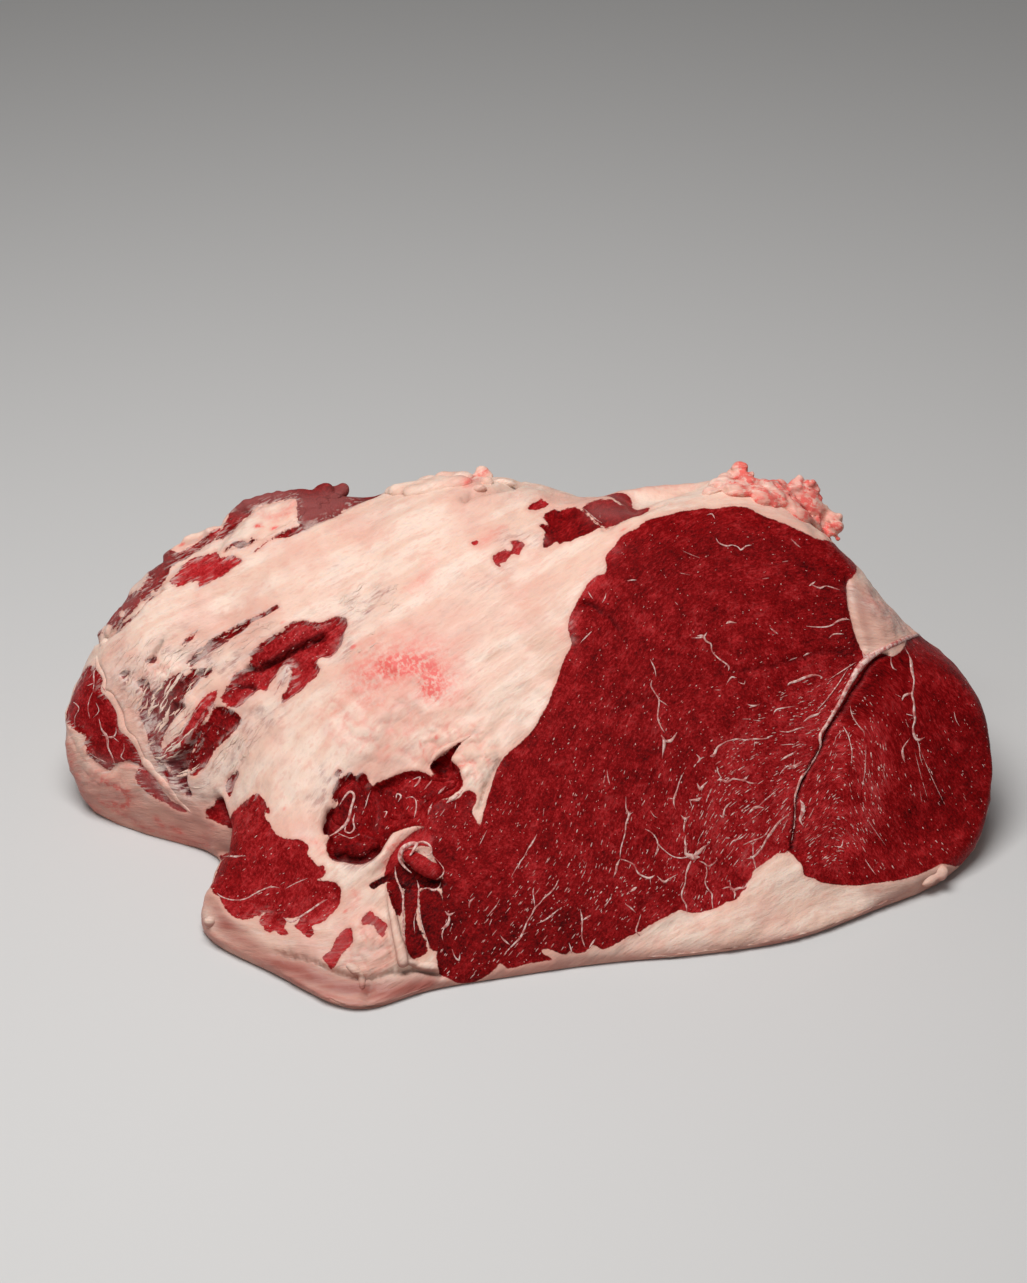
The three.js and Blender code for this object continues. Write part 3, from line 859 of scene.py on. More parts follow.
def newPiece(name, bm, material):
    mesh = meshFrom(name, bm)
    piece = addObject(name, mesh)
    mesh.materials.append(material)
    for face in mesh.polygons:
        face.use_smooth = True
    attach(piece, "root")
    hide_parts("silverside")
    return piece


class Wire:
    # One output of a node; sums and products of wires add Math nodes
    def __init__(self, look, socket):
        self.look = look
        self.socket = socket

    def math(self, operation, a, b):
        return self.look.node("Math", {"operation": operation}, {0: a, 1: b})

    def __add__(self, other):
        return self.math("ADD", self, other)

    def __radd__(self, other):
        return self.math("ADD", other, self)

    def __sub__(self, other):
        return self.math("SUBTRACT", self, other)

    def __rsub__(self, other):
        return self.math("SUBTRACT", other, self)

    def __mul__(self, other):
        return self.math("MULTIPLY", self, other)

    def __rmul__(self, other):
        return self.math("MULTIPLY", other, self)

    def step(self, low, high):
        return self.look.node(
            "MapRange",
            {"interpolation_type": "SMOOTHSTEP"},
            {"Value": self, "From Min": low, "From Max": high},
        )


class Look:
    # A material and the few ways that its nodes are added
    def __init__(self, name):
        self.material = bpy.data.materials.new(name)
        self.material.use_nodes = True
        self.tree = self.material.node_tree
        self.shader = self.tree.nodes["Principled BSDF"]

    def node(self, kind, settings=None, sockets=None, output=0):
        made = self.tree.nodes.new("ShaderNode" + kind)
        for name, value in (settings or {}).items():
            if name == "stops":
                ramp = made.color_ramp.elements
                while len(ramp) < len(value):
                    ramp.new(0.5)
                for stop, (place, colour) in zip(ramp, value):
                    stop.position = place
                    stop.color = (*colour, 1)
            else:
                setattr(made, name, value)
        for name, value in (sockets or {}).items():
            self.feed(made.inputs[name], value)
        return Wire(self, made.outputs[output])

    def feed(self, socket, value):
        if isinstance(value, Wire):
            self.tree.links.new(value.socket, socket)
        elif isinstance(value, tuple) and socket.type == "RGBA" and len(value) == 3:
            socket.default_value = (*value, 1)
        else:
            socket.default_value = value

    def set(self, **sockets):
        for name, value in sockets.items():
            self.feed(self.shader.inputs[name.replace("_", " ")], value)

    def place(self):
        # Object coordinates in mm
        raw = self.node("TexCoord", output=3)
        return self.node("VectorMath", {"operation": "SCALE"}, {"Vector": raw, "Scale": 1 / mm})

    def attribute(self, name, vector=False):
        return self.node("Attribute", {"attribute_name": name}, output=1 if vector else 2)

    def stretch(self, vector, by):
        return self.node("VectorMath", {"operation": "MULTIPLY"}, {0: vector, 1: by})

    def noise(self, vector, scale, detail=2.0, rough=0.5):
        sockets = {"Vector": vector, "Scale": scale, "Detail": detail, "Roughness": rough}
        return self.node("TexNoise", sockets=sockets)

    def cells(self, vector, scale, feature="F1"):
        return self.node("TexVoronoi", {"feature": feature}, {"Vector": vector, "Scale": scale})

    def mix(self, a, b, share):
        settings = {"data_type": "RGBA", "clamp_factor": True}
        return self.node("Mix", settings, {0: share, 6: a, 7: b}, output=2)

    def bump(self, height, strength, distance):
        sockets = {"Height": height, "Strength": strength, "Distance": distance * mm}
        return self.node("Bump", sockets=sockets)


leanColours = {
    "deep": (0.030, 0.0008, 0.0011),
    "middle": (0.235, 0.0026, 0.0036),
    "bright": (0.600, 0.030, 0.034),
    "speckle": (0.520, 0.045, 0.047),
    "net": (0.500, 0.100, 0.098),
    "dull": (0.300, 0.085, 0.080),
    # painted shade colour for creases, cracks and hollows
    "creaseShade": (0.020, 0.0015, 0.0020),
}
fatColours = {
    "cream": (0.800, 0.530, 0.420),
    "pale": (0.850, 0.640, 0.530),
    "pink": (0.730, 0.360, 0.285),
    # painted shade in the crevices of the fine streaks
    "creviceShade": (0.520, 0.350, 0.320),
    "blush": (0.780, 0.150, 0.125),
    "veil": (0.240, 0.085, 0.095),
    "film": (0.720, 0.570, 0.510),
    # painted shade colour for the low and shaded fat
    "shade": (0.330, 0.090, 0.070),
}
veinColours = {
    "white": (0.80, 0.55, 0.49),
    "pink": (0.58, 0.24, 0.21),
    "red": (0.46, 0.075, 0.07),
}
# Light under the surface of raw meat: how far each colour goes, and the scale in metres
underSkin = {"Subsurface_Radius": (1.0, 0.35, 0.2), "Subsurface_Scale": 0.002}


def leanShade(look, grain, tone, dull):
    # Dark red lean: mottling, fibres, a fine pale net around the bundles and small pale specks,
    # partly the lean's own grain and partly painted highlight in place of tiny glints
    coarse = look.noise(look.place(), 0.12, 4.0, 0.62)
    fibre = look.noise(look.stretch(grain, (1.0, 0.16, 1.0)), 0.62, 3.0, 0.62)
    grainy = look.noise(look.stretch(grain, (1.0, 0.75, 1.0)), 0.95, 3.0, 0.78)
    level = tone + (coarse - 0.5) * 0.85 + (fibre - 0.5) * 0.38 + (grainy - 0.5) * 1.25
    steps = {"deep": 0.0, "middle": 0.45, "bright": 1.0}
    stops = [(place, leanColours[name]) for name, place in steps.items()]
    ramp = look.node("ValToRGB", {"stops": stops}, {"Fac": level})
    net = look.cells(look.stretch(grain, (1.0, 0.42, 1.0)), 0.36, "DISTANCE_TO_EDGE")
    netMask = (1 - net.step(0.0, 0.08)) * coarse.step(0.50, 0.62)
    colour = look.mix(ramp, leanColours["net"], netMask * (tone.step(0.3, 0.75) * 0.40 + 0.04))
    # pale red specks: real grain, and painted highlight in place of tiny glints
    speckAndGlint = grainy.step(0.57, 0.68)
    colour = look.mix(colour, leanColours["speckle"], speckAndGlint * (tone.step(0.3, 0.8) * 0.75 + 0.10))
    strands = look.noise(look.stretch(grain, (1.0, 0.07, 1.0)), 0.95, 2.0, 0.6)
    strandMask = strands.step(0.54, 0.64) * tone.step(0.48, 0.72) * coarse.step(0.40, 0.55)
    colour = look.mix(colour, leanColours["net"], strandMask * 0.55)
    colour = look.mix(colour, leanColours["dull"], dull * 0.85)
    return colour, fibre, grainy


def fatShade(look, grain, blush, shade):
    # Cream fat, pinker in streaks and greyer in their crevices, with red spots; the grey in the
    # crevices and the darker, redder low edges are painted shade
    streakWide = look.noise(look.stretch(grain, (1.0, 0.14, 1.0)), 0.14, 3.0, 0.55)
    streakFine = look.noise(look.stretch(grain, (1.0, 0.28, 1.0)), 0.50, 3.0, 0.65)
    cloud = look.noise(look.place(), 0.028, 3.0, 0.6)
    colour = look.mix(fatColours["cream"], fatColours["pale"], streakWide.step(0.42, 0.60))
    colour = look.mix(colour, fatColours["pink"], cloud.step(0.45, 0.66) * 0.5)
    colour = look.mix(colour, fatColours["pink"], streakFine.step(0.52, 0.66) * 0.36)
    # painted shade: greyer where the fine streaks sink
    colour = look.mix(colour, fatColours["creviceShade"], (1 - streakFine.step(0.34, 0.46)) * 0.18)
    speckle = look.noise(grain, 0.55, 2.0, 0.7).step(0.34, 0.62)
    redness = blush * (0.15 + streakFine.step(0.36, 0.60) * 0.45 + speckle * 0.4)
    redness = redness * 0.9 + blush.step(0.55, 1.0) * speckle * 0.4
    colour = look.mix(colour, fatColours["blush"], redness)
    dots = look.cells(look.stretch(grain, (1.0, 0.45, 1.0)), 0.07)
    dotMask = (1 - dots.step(0.03, 0.085)) * cloud.step(0.48, 0.54)
    colour = look.mix(colour, fatColours["blush"], dotMask * 0.8)
    # painted shade, a little patchy along the wide streaks
    paintedShadeShare = shade * (0.7 + streakWide.step(0.40, 0.62) * 0.3)
    return look.mix(colour, fatColours["shade"], paintedShadeShare), streakWide, streakFine


def makeSkinLook():
    look = Look("leanAndFat")
    place = look.place()
    fatGrain = look.attribute("fatGrain", True)
    leanGrain = look.attribute("leanGrain", True)
    torn = look.attribute("torn")
    threads = look.noise(look.stretch(fatGrain, (1.0, 0.11, 1.0)), 0.75, 3.0, 0.65)
    ragged = (look.noise(place, 0.42, 3.0, 0.65) - 0.5) * (torn * 1.6 + 1.2)
    ragged = ragged + (threads - 0.5) * (torn * 2.4 + 0.2)
    inside = look.attribute("lean") + ragged
    lean = inside.step(-0.25, 0.25)
    leanColour, fibre, grainy = leanShade(
        look, leanGrain, look.attribute("tone"), look.attribute("dull")
    )
    fatColour, streakWide, streakFine = fatShade(
        look, fatGrain, look.attribute("blush"), look.attribute("shade")
    )
    # fat just outside the lean is thin and lets the red through
    thin = (1 - (0 - inside).step(0.0, 2.4)) * (1 - lean)
    fatColour = look.mix(fatColour, fatColours["pink"], thin * 0.6)
    colour = look.mix(fatColour, leanColour, lean)
    # torn membrane lies in threads over the edge of the lean
    film = inside.step(-3.5, 0.3) * (1 - inside.step(0.3, 4.0)) * torn.step(0.3, 1.0)
    film = film * threads.step(0.50, 0.60)
    colour = look.mix(colour, fatColours["film"], film * 0.6)
    veil = look.attribute("veil") * look.noise(place, 0.15, 3.0, 0.6).step(0.34, 0.60)
    veilColour = look.mix(fatColours["veil"], fatColours["film"], threads.step(0.40, 0.56))
    colour = look.mix(colour, veilColour, veil * 0.72)
    # painted shade darkens the creases and hollows
    colour = look.mix(colour, leanColours["creaseShade"], look.attribute("dark"))
    wet = look.noise(place, 0.16, 2.0)
    look.set(
        Base_Color=colour,
        Roughness=0.40 + (wet - 0.5) * 0.22 + (1 - lean) * 0.04,
        Subsurface_Weight=0.10,
        Specular_IOR_Level=0.05,
        Coat_Roughness=0.18,
        Coat_Weight=0.015 + wet.step(0.5, 0.7) * 0.06 + (1 - lean) * 0.10,
        **underSkin,
    )
    lobules = look.cells(look.stretch(fatGrain, (1.0, 0.6, 1.0)), 0.19)
    leanRelief = fibre * 0.45 + grainy * 1.1
    fatRelief = streakWide * 0.8 + streakFine * 0.8 + threads * 0.25 - lobules * 0.45
    relief = leanRelief * lean + (fatRelief + 0.15) * (1 - lean)
    look.set(Normal=look.bump(relief, 0.8, 1.0))
    return look.material


def makeVeinLook():
    # White connective fat in the lean
    look = Look("marblingFat")
    place = look.place()
    cloud = look.noise(place, 0.5, 3.0)
    colour = look.mix(veinColours["pink"], veinColours["white"], cloud.step(0.38, 0.62))
    thin = look.noise(place, 0.40, 2.0).step(0.50, 0.66)
    look.set(
        Base_Color=look.mix(colour, veinColours["red"], thin * 0.85),
        Roughness=0.42,
        Subsurface_Weight=0.12,
        Specular_IOR_Level=0.25,
        Normal=look.bump(look.noise(place, 1.6, 2.0), 0.35, 0.3),
        **underSkin,
    )
    return look.material


def liftOff(points, normals, fields):
    # mm that the skin stands out, and how pink it is between the lobules
    fat = 1 - smoothStep(-0.5, 0.8, fields["lean"])
    flowNoise = noiseAt(fields["fatGrain"] * (1, 0.14, 1), 7.0, 2.0)
    fineNoise = noiseAt(fields["fatGrain"] * (1, 0.12, 1), 2.6, 4.0)
    foldNoise = noiseAt(points * (1, 1, 1.3), 8.5, 7.0)
    lift = (
        skinSettings["lumps"] * noiseAt(points, 24.0)
        + skinSettings["folds"] * foldNoise * (0.3 + 0.7 * fat)
        + skinSettings["streaks"] * (flowNoise + 0.6 * fineNoise) * fat
        - fields["sink"]
    )
    turned = smoothStep(0.0, 0.3, facingShot(points, normals))
    rise, valleys = fatLobules(toPixel(points))
    lift += rise * turned * fat
    return lift * smoothStep(0.5, 7.0, points[:, 2]), valleys * turned * skinSettings["valleys"]


skinLayers = (
    "lean", "tone", "dull", "veil", "blush", "dark", "torn", "shade", "fatGrain", "leanGrain"
)

print("skin")
skinBm = bmesh.new()
skinBm.from_mesh(frame["nodes"]["silverside"].data)
bmesh.ops.remove_doubles(skinBm, verts=skinBm.verts, dist=0.01 * mm)
refineSkin(skinBm)
skinBm.normal_update()
skinPoints, skinNormals = meshArrays(skinBm.verts)
skin = skinFields(skinPoints, skinNormals)
skinLift, valleyBlush = liftOff(skinPoints, skinNormals, skin)
skin["blush"] = np.maximum(skin["blush"], valleyBlush)
moved = (skinPoints + skinNormals * skinLift[:, None]) * mm
for vert, place in zip(skinBm.verts, moved):
    vert.co = place
print("skin faces", len(skinBm.faces))
skinTree = BVHTree.FromBMesh(skinBm)
skinLook = makeSkinLook()
skinPiece = newPiece("skin", skinBm, skinLook)
for name in skinLayers:
    writeLayer(skinPiece.data, name, skin[name])
veinLook = makeVeinLook()


def onTree(tree, x, y):
    # Where a pixel's ray meets a tree of faces, or where it passes closest to it
    origin, along = rayThrough(x, y)
    place, normal, _, _ = tree.ray_cast(origin, along)
    if place is not None:
        return place, normal
    low, high, tries = 1.0, 1.9, 25  # metres from the camera
    for _ in range(3):
        reach = np.linspace(low, high, tries)
        gaps = [tree.find_nearest(origin + along * float(r))[3] for r in reach]
        best = int(np.argmin(gaps))
        low, high = reach[max(best - 1, 0)], reach[min(best + 1, tries - 1)]
    point = origin + along * float(reach[best])
    near, normal, _, _ = tree.find_nearest(point)
    return point, (point - near).normalized() if (point - near).length > 1e-6 else normal


def ballAt(centre, axes, halves):
    # Matrix of a ball with half sizes in mm along three axes
    turn = Matrix(axes).transposed().to_4x4()
    return Matrix.Translation(centre) @ turn @ Matrix.Diagonal((*(h * mm for h in halves), 1))


def addBalls(bm, balls):
    # Makes the balls of a list in batches, because a bmesh slows down as it grows
    many = 50
    for start in range(0, len(balls), many):
        batch = bmesh.new()
        for place, cuts in balls[start:start + many]:
            bmesh.ops.create_icosphere(batch, subdivisions=cuts, radius=1.0, matrix=place)
        addMesh(bm, meshFrom("batch", batch))


def addLump(balls, centre, normal, turn, halves, cuts=2):
    # Half sizes in mm: along the turned direction in the picture, across it, and out
    along = Vector(shotRight * math.cos(turn) + shotUp * math.sin(turn))
    along = (along - normal * along.dot(normal)).normalized()
    balls.append((ballAt(centre, (along, normal.cross(along), normal), halves), cuts))


def evaluated(holder):
    # The mesh that an object's modifiers or bevel make; the object goes
    bpy.context.view_layer.update()
    depsgraph = bpy.context.evaluated_depsgraph_get()
    mesh = bpy.data.meshes.new_from_object(holder.evaluated_get(depsgraph))
    data = holder.data
    bpy.data.objects.remove(holder)
    bpy.data.batch_remove((data,))
    return mesh


def roundTubes(paths, roundness):
    # Capped round tubes through places with radii
    curve = bpy.data.curves.new("tubes", "CURVE")
    curve.dimensions = "3D"
    curve.bevel_depth = 1.0
    curve.bevel_resolution = roundness
    curve.use_fill_caps = True
    for path in paths:
        spline = curve.splines.new("POLY")
        spline.points.add(len(path) - 1)
        for point, (place, radius) in zip(spline.points, path):
            point.co = (*place, 1)
            point.radius = radius
    return evaluated(addObject("tubes", curve))


def fuse(bm, cell, passes=4):
    # Melts overlapping parts into one closed skin with faces of about this size in mm
    holder = addObject("melted", meshFrom("melted", bm))
    melt = holder.modifiers.new("melt", "REMESH")
    melt.mode = "VOXEL"
    melt.voxel_size = cell * mm
    out = bmesh.new()
    addMesh(out, evaluated(holder))
    for _ in range(passes):
        evenOut(out, out.verts, 0.5)
    return out


def dress(piece, **own):
    # Gives a piece the skin's own layers, and some of its own
    mesh = piece.data
    fields = skinFields(*meshArrays(mesh.vertices))
    if "lean" in own:
        fields["dark"] = np.zeros(len(mesh.vertices))
    for name in skinLayers:
        values = np.zeros(len(mesh.vertices)) + own[name] if name in own else fields[name]
        writeLayer(mesh, name, values)


def fillArea(balls, draw, area, settings):
    # Overlapping lumps that fill an area of the picture
    area = spotsOf(area)
    spacing, flat = settings["spacing"], settings["flat"]
    back, trail = settings.get("back", 0.2), settings.get("trail", 0)
    toEye = Vector(-lookAlong)
    for x in np.arange(area[:, 0].min(), area[:, 0].max(), spacing):
        for y in np.arange(area[:, 1].min(), area[:, 1].max(), spacing):
            size = draw.uniform(*settings["radius"])
            spot = np.array([[x, y]]) + draw.uniform(-0.25, 0.25, 2) * spacing
            if insideOf(spot, area)[0] * pixelSize < size * settings["inset"]:
                continue
            centre, normal = onTree(skinTree, *spot[0])
            out = (toEye + normal * 1.5).normalized()
            halves = (size, size * 0.85, size * flat)
            addLump(balls, centre - toEye * size * back * mm, out, draw.uniform(-1, 1), halves)
            if normal.dot(toEye) > 0.25:
                continue
            for step in range(1, trail + 1):
                # the part runs on over the ridge and thins out behind it
                place, behind, _, _ = skinTree.find_nearest(centre - toEye * step * size * 1.3 * mm)
                thick = size * flat * (1 - 0.8 * step / trail)
                halves = (size * 1.3, size * 1.2, thick)
                sunk = place - behind * thick * 0.3 * mm
                addLump(balls, sunk, behind, draw.uniform(-1, 1), halves, 1)


# The frayed fat behind the rim of the cut end. Lengths in pixels, radius in mm
frillSettings = {
    "seed": 5,
    "cell": 0.75,  # mm
    "area": [700, 484, 718, 472, 742, 462, 752, 472, 778, 479, 788, 482, 797, 472, 812, 480,
             824, 489, 822, 505, 838, 508, 848, 514, 842, 528, 842, 545, 826, 540, 808, 532,
             781, 518, 757, 508, 731, 502, 705, 500],
    "spacing": 8.0,
    "radius": (3.8, 5.0),
    "flat": 1.0,
    "back": 0.5,
    "inset": 0.6,
    "trail": 2,
    "strands": 150,
    "long": (14, 40),
    "wide": (3.4, 7.0),
    "lie": (12, -48),  # degrees up from the right, of the strands at the left and at the right
    "lieFrom": (715, 800),
    "fan": 14,  # degrees to each side
    "bend": 0.3,  # of half a strand's length
    "proud": 0.6,  # mm that the strands lie over the lumps
    "beadShape": (1.2, 0.9, 0.95),  # along, across and out
    # x, y and width
    "beads": [(832, 515, 9), (840, 516, 7), (825, 527, 7), (833, 533, 8), (838, 539, 6),
              (818, 520, 7), (826, 507, 6), (814, 512, 6), (820, 498, 7), (812, 483, 9),
              (800, 478, 8), (803, 494, 6), (792, 488, 6), (818, 490, 7), (745, 466, 8),
              (734, 468, 7), (752, 474, 7), (808, 526, 6)],
    # x, y, reach and how much redder
    "red": [(811, 486, 11, 0.8), (743, 467, 9, 0.6)],
}


def strandsOn(tree, draw):
    # Short bent tubes that lie on a tree inside the frills' area; their paths and their middles
    spots = drawInside(draw, spotsOf(frillSettings["area"]), frillSettings["strands"])
    paths, marks = [], []
    for x, y in spots:
        lie = lerp(*frillSettings["lie"], smoothStep(*frillSettings["lieFrom"], x))
        turn = math.radians(lie + draw.uniform(-frillSettings["fan"], frillSettings["fan"]))
        half = draw.uniform(*frillSettings["long"]) / 2
        thick = draw.uniform(*frillSettings["wide"])
        bend = draw.uniform(-frillSettings["bend"], frillSettings["bend"])
        path = []
        for share in (-1.0, -0.5, 0.0, 0.5, 1.0):
            off = bend * half * (share * share - 0.5)
            px = x + math.cos(turn) * half * share - math.sin(turn) * off
            py = y - math.sin(turn) * half * share - math.cos(turn) * off
            place, normal, _, _ = tree.ray_cast(*rayThrough(px, py))
            if place is not None:
                radius = thick * (1.1 - 0.7 * abs(share)) * pixelSize * mm / 2
                path.append((place + normal * frillSettings["proud"] * mm, radius))
        if len(path) == 5 and (path[0][0] - path[4][0]).length < half * 4 * pixelSize * mm:
            paths.append(path)
            marks.append((*(path[2][0] / mm), draw.random_sample()))
    return paths, marks


def makeFrills():
    draw = np.random.RandomState(frillSettings["seed"])
    balls = []
    fillArea(balls, draw, frillSettings["area"], frillSettings)
    bm = bmesh.new()
    addBalls(bm, balls)
    balls.clear()
    coreTree = BVHTree.FromBMesh(bm)
    paths, marks = strandsOn(coreTree, draw)
    addMesh(bm, roundTubes(paths, 2))
    for x, y, width in frillSettings["beads"]:
        place, normal = onTree(coreTree, x, y)
        marks.append((*(place / mm), draw.random_sample() * 0.7))
        halves = np.array(frillSettings["beadShape"]) * width * pixelSize / 2
        addLump(balls, place, normal, draw.uniform(-1, 1), halves)
    addBalls(bm, balls)
    bm = fuse(bm, frillSettings["cell"])
    points, _ = meshArrays(bm.verts)
    piece = newPiece("frills", bm, skinLook)

    # each strand and bead has a redness of its own
    marks = np.array(marks)
    gaps = ((points[:, None, :] - marks[None, :, :3]) ** 2).sum(axis=2)
    redness = 0.45 + marks[np.argmin(gaps, axis=1), 3] * 0.8 + noiseAt(points, 4.0) * 0.25
    spots = toPixel(points)
    for x, y, reach, more in frillSettings["red"]:
        redness += more * np.exp(-(((spots - (x, y)) / reach) ** 2).sum(axis=1))
    redness *= lerp(0.35, 1.0, smoothStep(712, 745, spots[:, 0]))
    lean = np.clip((redness - 1.75) * 6, -6, 1.0)
    dress(piece, lean=lean, blush=np.clip(redness, 0, 1.3), tone=0.8, shade=0.0)
    return piece


# Parts that stand on the skin. areas: outlines that lumps fill, or names of the lean above
# tubes: x, y and width in pixels. lumps: x, y, half length and half width in pixels, turn in
# degrees, height in mm. flat, back, sunk: shares of a lump's or a tube's radius
lobes = {
    "rearLobe": {
        "slot": "fat", "cell": 0.9, "radius": (4.6, 5.6), "flat": 0.7, "smooth": 14, "back": 0.1,
        "trail": 4,
        "areas": [
            [366, 498, 385, 484, 412, 475, 441, 467, 462, 465, 473, 466, 480, 472, 478, 486,
             466, 494, 440, 499, 400, 506],
        ],
        "lumps": [(484, 476, 12, 6, -10, 4), (487, 483, 9, 6, -30, 4), (480, 489, 9, 5, 20, 3),
                  (482, 470, 9, 4, 30, 3), (505, 483, 15, 5, -8, 2.5)],
    },
    "rearFlap": {
        "slot": "meat", "cell": 0.9, "radius": (2.6, 4.0), "flat": 0.8, "smooth": 7, "back": 0.6,
        "trail": 4,
        "areas": [
            [92, 646, 96, 628, 104, 616, 120, 603, 136, 594, 146, 584, 152, 568, 160, 554, 174, 543,
             186, 531, 204, 526, 218, 520, 228, 510, 238, 499, 262, 490, 300, 486, 326, 481,
             344, 484, 358, 488, 346, 502, 318, 516, 300, 526, 262, 548, 222, 560, 190, 584,
             158, 604, 128, 628, 104, 654],
        ],
        "lumps": [(326, 488, 9, 6, 20, 3), (343, 490, 8, 8, 60, 4)],
    },
    "rolledEdge": {
        "slot": "fat", "cell": 0.6, "smooth": 3, "sunk": 0.62, "own": {"lean": -9.0, "veil": 0.1},
        "tubes": [
            [96, 656, 5, 98, 666, 12, 105, 679, 9, 103, 689, 12, 112, 698, 15, 119, 713, 10,
             122, 728, 13, 133, 738, 14, 140, 750, 11, 146, 763, 14, 155, 774, 10, 166, 787, 12,
             178, 801, 8, 190, 812, 5],
        ],
    },
    "fatFinger": {
        "slot": "fat", "cell": 0.6,
        "tubes": [
            [389, 892, 5, 391, 905, 8, 394, 920, 9, 397, 936, 10, 401, 950, 12, 403, 962, 12],
            [410, 962, 7, 422, 966, 10, 434, 967, 10, 441, 968, 6],
        ],
    },
    "fatNubs": {
        "slot": "fat", "cell": 0.6,
        "tubes": [
            [349, 966, 8, 354, 969, 11, 357, 971, 9],
            [361, 974, 7, 362, 980, 9, 362, 987, 7],
        ],
        "lumps": [(210, 922, 7, 6, 0, 3), (941, 873, 9, 6, 70, 4), (930, 880, 12, 5, 16, 3)],
    },
    "pocketLid": {
        "slot": "fat", "cell": 0.6,
        "tubes": [
            [429, 768, 4, 433, 759, 6, 440, 752, 7, 450, 746, 7, 460, 741, 6, 470, 736, 4],
        ],
    },
    "leanLobes": {
        "slot": "meat", "cell": 0.8, "radius": (2.4, 4.2), "flat": 0.6, "smooth": 8,
        "areas": [
            [250, 664, 256, 648, 272, 636, 292, 623, 318, 621, 346, 617, 342, 632, 318, 645,
             290, 656, 266, 668],
            "slotLip",
            [332, 800, 340, 782, 356, 777, 369, 790, 372, 812, 362, 832, 340, 834, 328, 824],
            [378, 790, 400, 776, 430, 778, 456, 776, 460, 788, 446, 798, 428, 806, 422, 820,
             402, 826, 388, 822, 380, 806],
            [330, 842, 350, 838, 378, 836, 390, 838, 378, 852, 362, 862, 342, 860, 330, 854],
        ],
    },
    "vessel": {
        "slot": "meat", "cell": 0.6, "own": {"lean": 6.0, "tone": 0.7},
        "lumps": [(422, 865, 20, 9, -38, 5.5), (434, 871, 10, 8, -50, 5), (411, 857, 9, 8, -40, 4)],
    },
}


def makeLobes(name, group):
    draw = np.random.RandomState(len(name))
    bm = bmesh.new()
    balls = []
    for area in group.get("areas", []):
        outline = leanPatches[area][3] if isinstance(area, str) else area
        fillArea(balls, draw, outline, {"spacing": 4.5, "inset": 0.9, **group})
    for line in group.get("tubes", []):
        path = []
        for x, y, width in smoothLine(spotsOf(line, 3), steps=3):
            place, normal = onTree(skinTree, x, y)
            radius = width * pixelSize * mm / 2
            path.append((place - normal * radius * group.get("sunk", 0.3), radius))
        addMesh(bm, roundTubes([path], 2))
        for place, radius in (path[0], path[-1]):
            end = Matrix.Translation(place)
            bmesh.ops.create_icosphere(bm, subdivisions=2, radius=radius, matrix=end)
    for x, y, long, wide, turn, height in group.get("lumps", []):
        place, normal = onTree(skinTree, x, y)
        halves = (long * pixelSize, wide * pixelSize, height)
        addLump(balls, place, normal, math.radians(turn), halves)
    addBalls(bm, balls)
    melted = fuse(bm, group["cell"], group.get("smooth", 4))
    piece = newPiece(name, melted, skinLook)
    dress(piece, **group.get("own", {}))
    return piece


print("frills")
standingPieces = [makeFrills()]
print("lobes")
standingPieces += [makeLobes(name, group) for name, group in lobes.items()]

# The pale torn rim of the vessel: x, y, width in pixels and height over the skin in mm
rimSettings = {
    "lines": [
        [412, 874, 2, 2, 405, 868, 4, 3, 401, 860, 6, 3, 403, 852, 7, 3.5, 410, 847, 7, 4,
         418, 846, 5, 4.5, 415, 852, 4, 5, 411, 858, 3, 4.5],
        [418, 845, 3, 4, 424, 844, 4, 4, 430, 847, 3.4, 4, 432, 853, 3, 4, 428, 857, 2.4, 4,
         424, 853, 2, 4],
        [432, 857, 2, 4, 438, 863, 1.8, 4.5, 443, 870, 2.2, 4, 442, 876, 2.6, 3, 436, 880, 2, 2],
    ],
    "width": 0.72,  # times the widths above
    "cell": 0.35,
}


def makeRim():
    paths = []
    for line in rimSettings["lines"]:
        path = []
        for x, y, width, lift in smoothLine(spotsOf(line, 4), steps=3):
            place, normal = onTree(skinTree, x, y)
            radius = width * pixelSize * mm * (rimSettings["width"] / 2)
            path.append((place + normal * lift * mm, radius))
        paths.append(path)
    bm = bmesh.new()
    addMesh(bm, roundTubes(paths, 2))
    newPiece("vesselRim", fuse(bm, rimSettings["cell"], 2), veinLook)


print("vessel rim")
makeRim()

# What the marbling lies on: the skin and the parts that stand on it
surfaceBm = bmesh.new()
for piece in (skinPiece, *standingPieces):
    surfaceBm.from_mesh(piece.data)
surfaceTree = BVHTree.FromBMesh(surfaceBm)
surfaceBm.free()


def onSurface(x, y):
    # Where the ray through a pixel meets the surface, and the way out of the surface there
    place, normal, _, _ = surfaceTree.ray_cast(*rayThrough(x, y))
    return place, normal


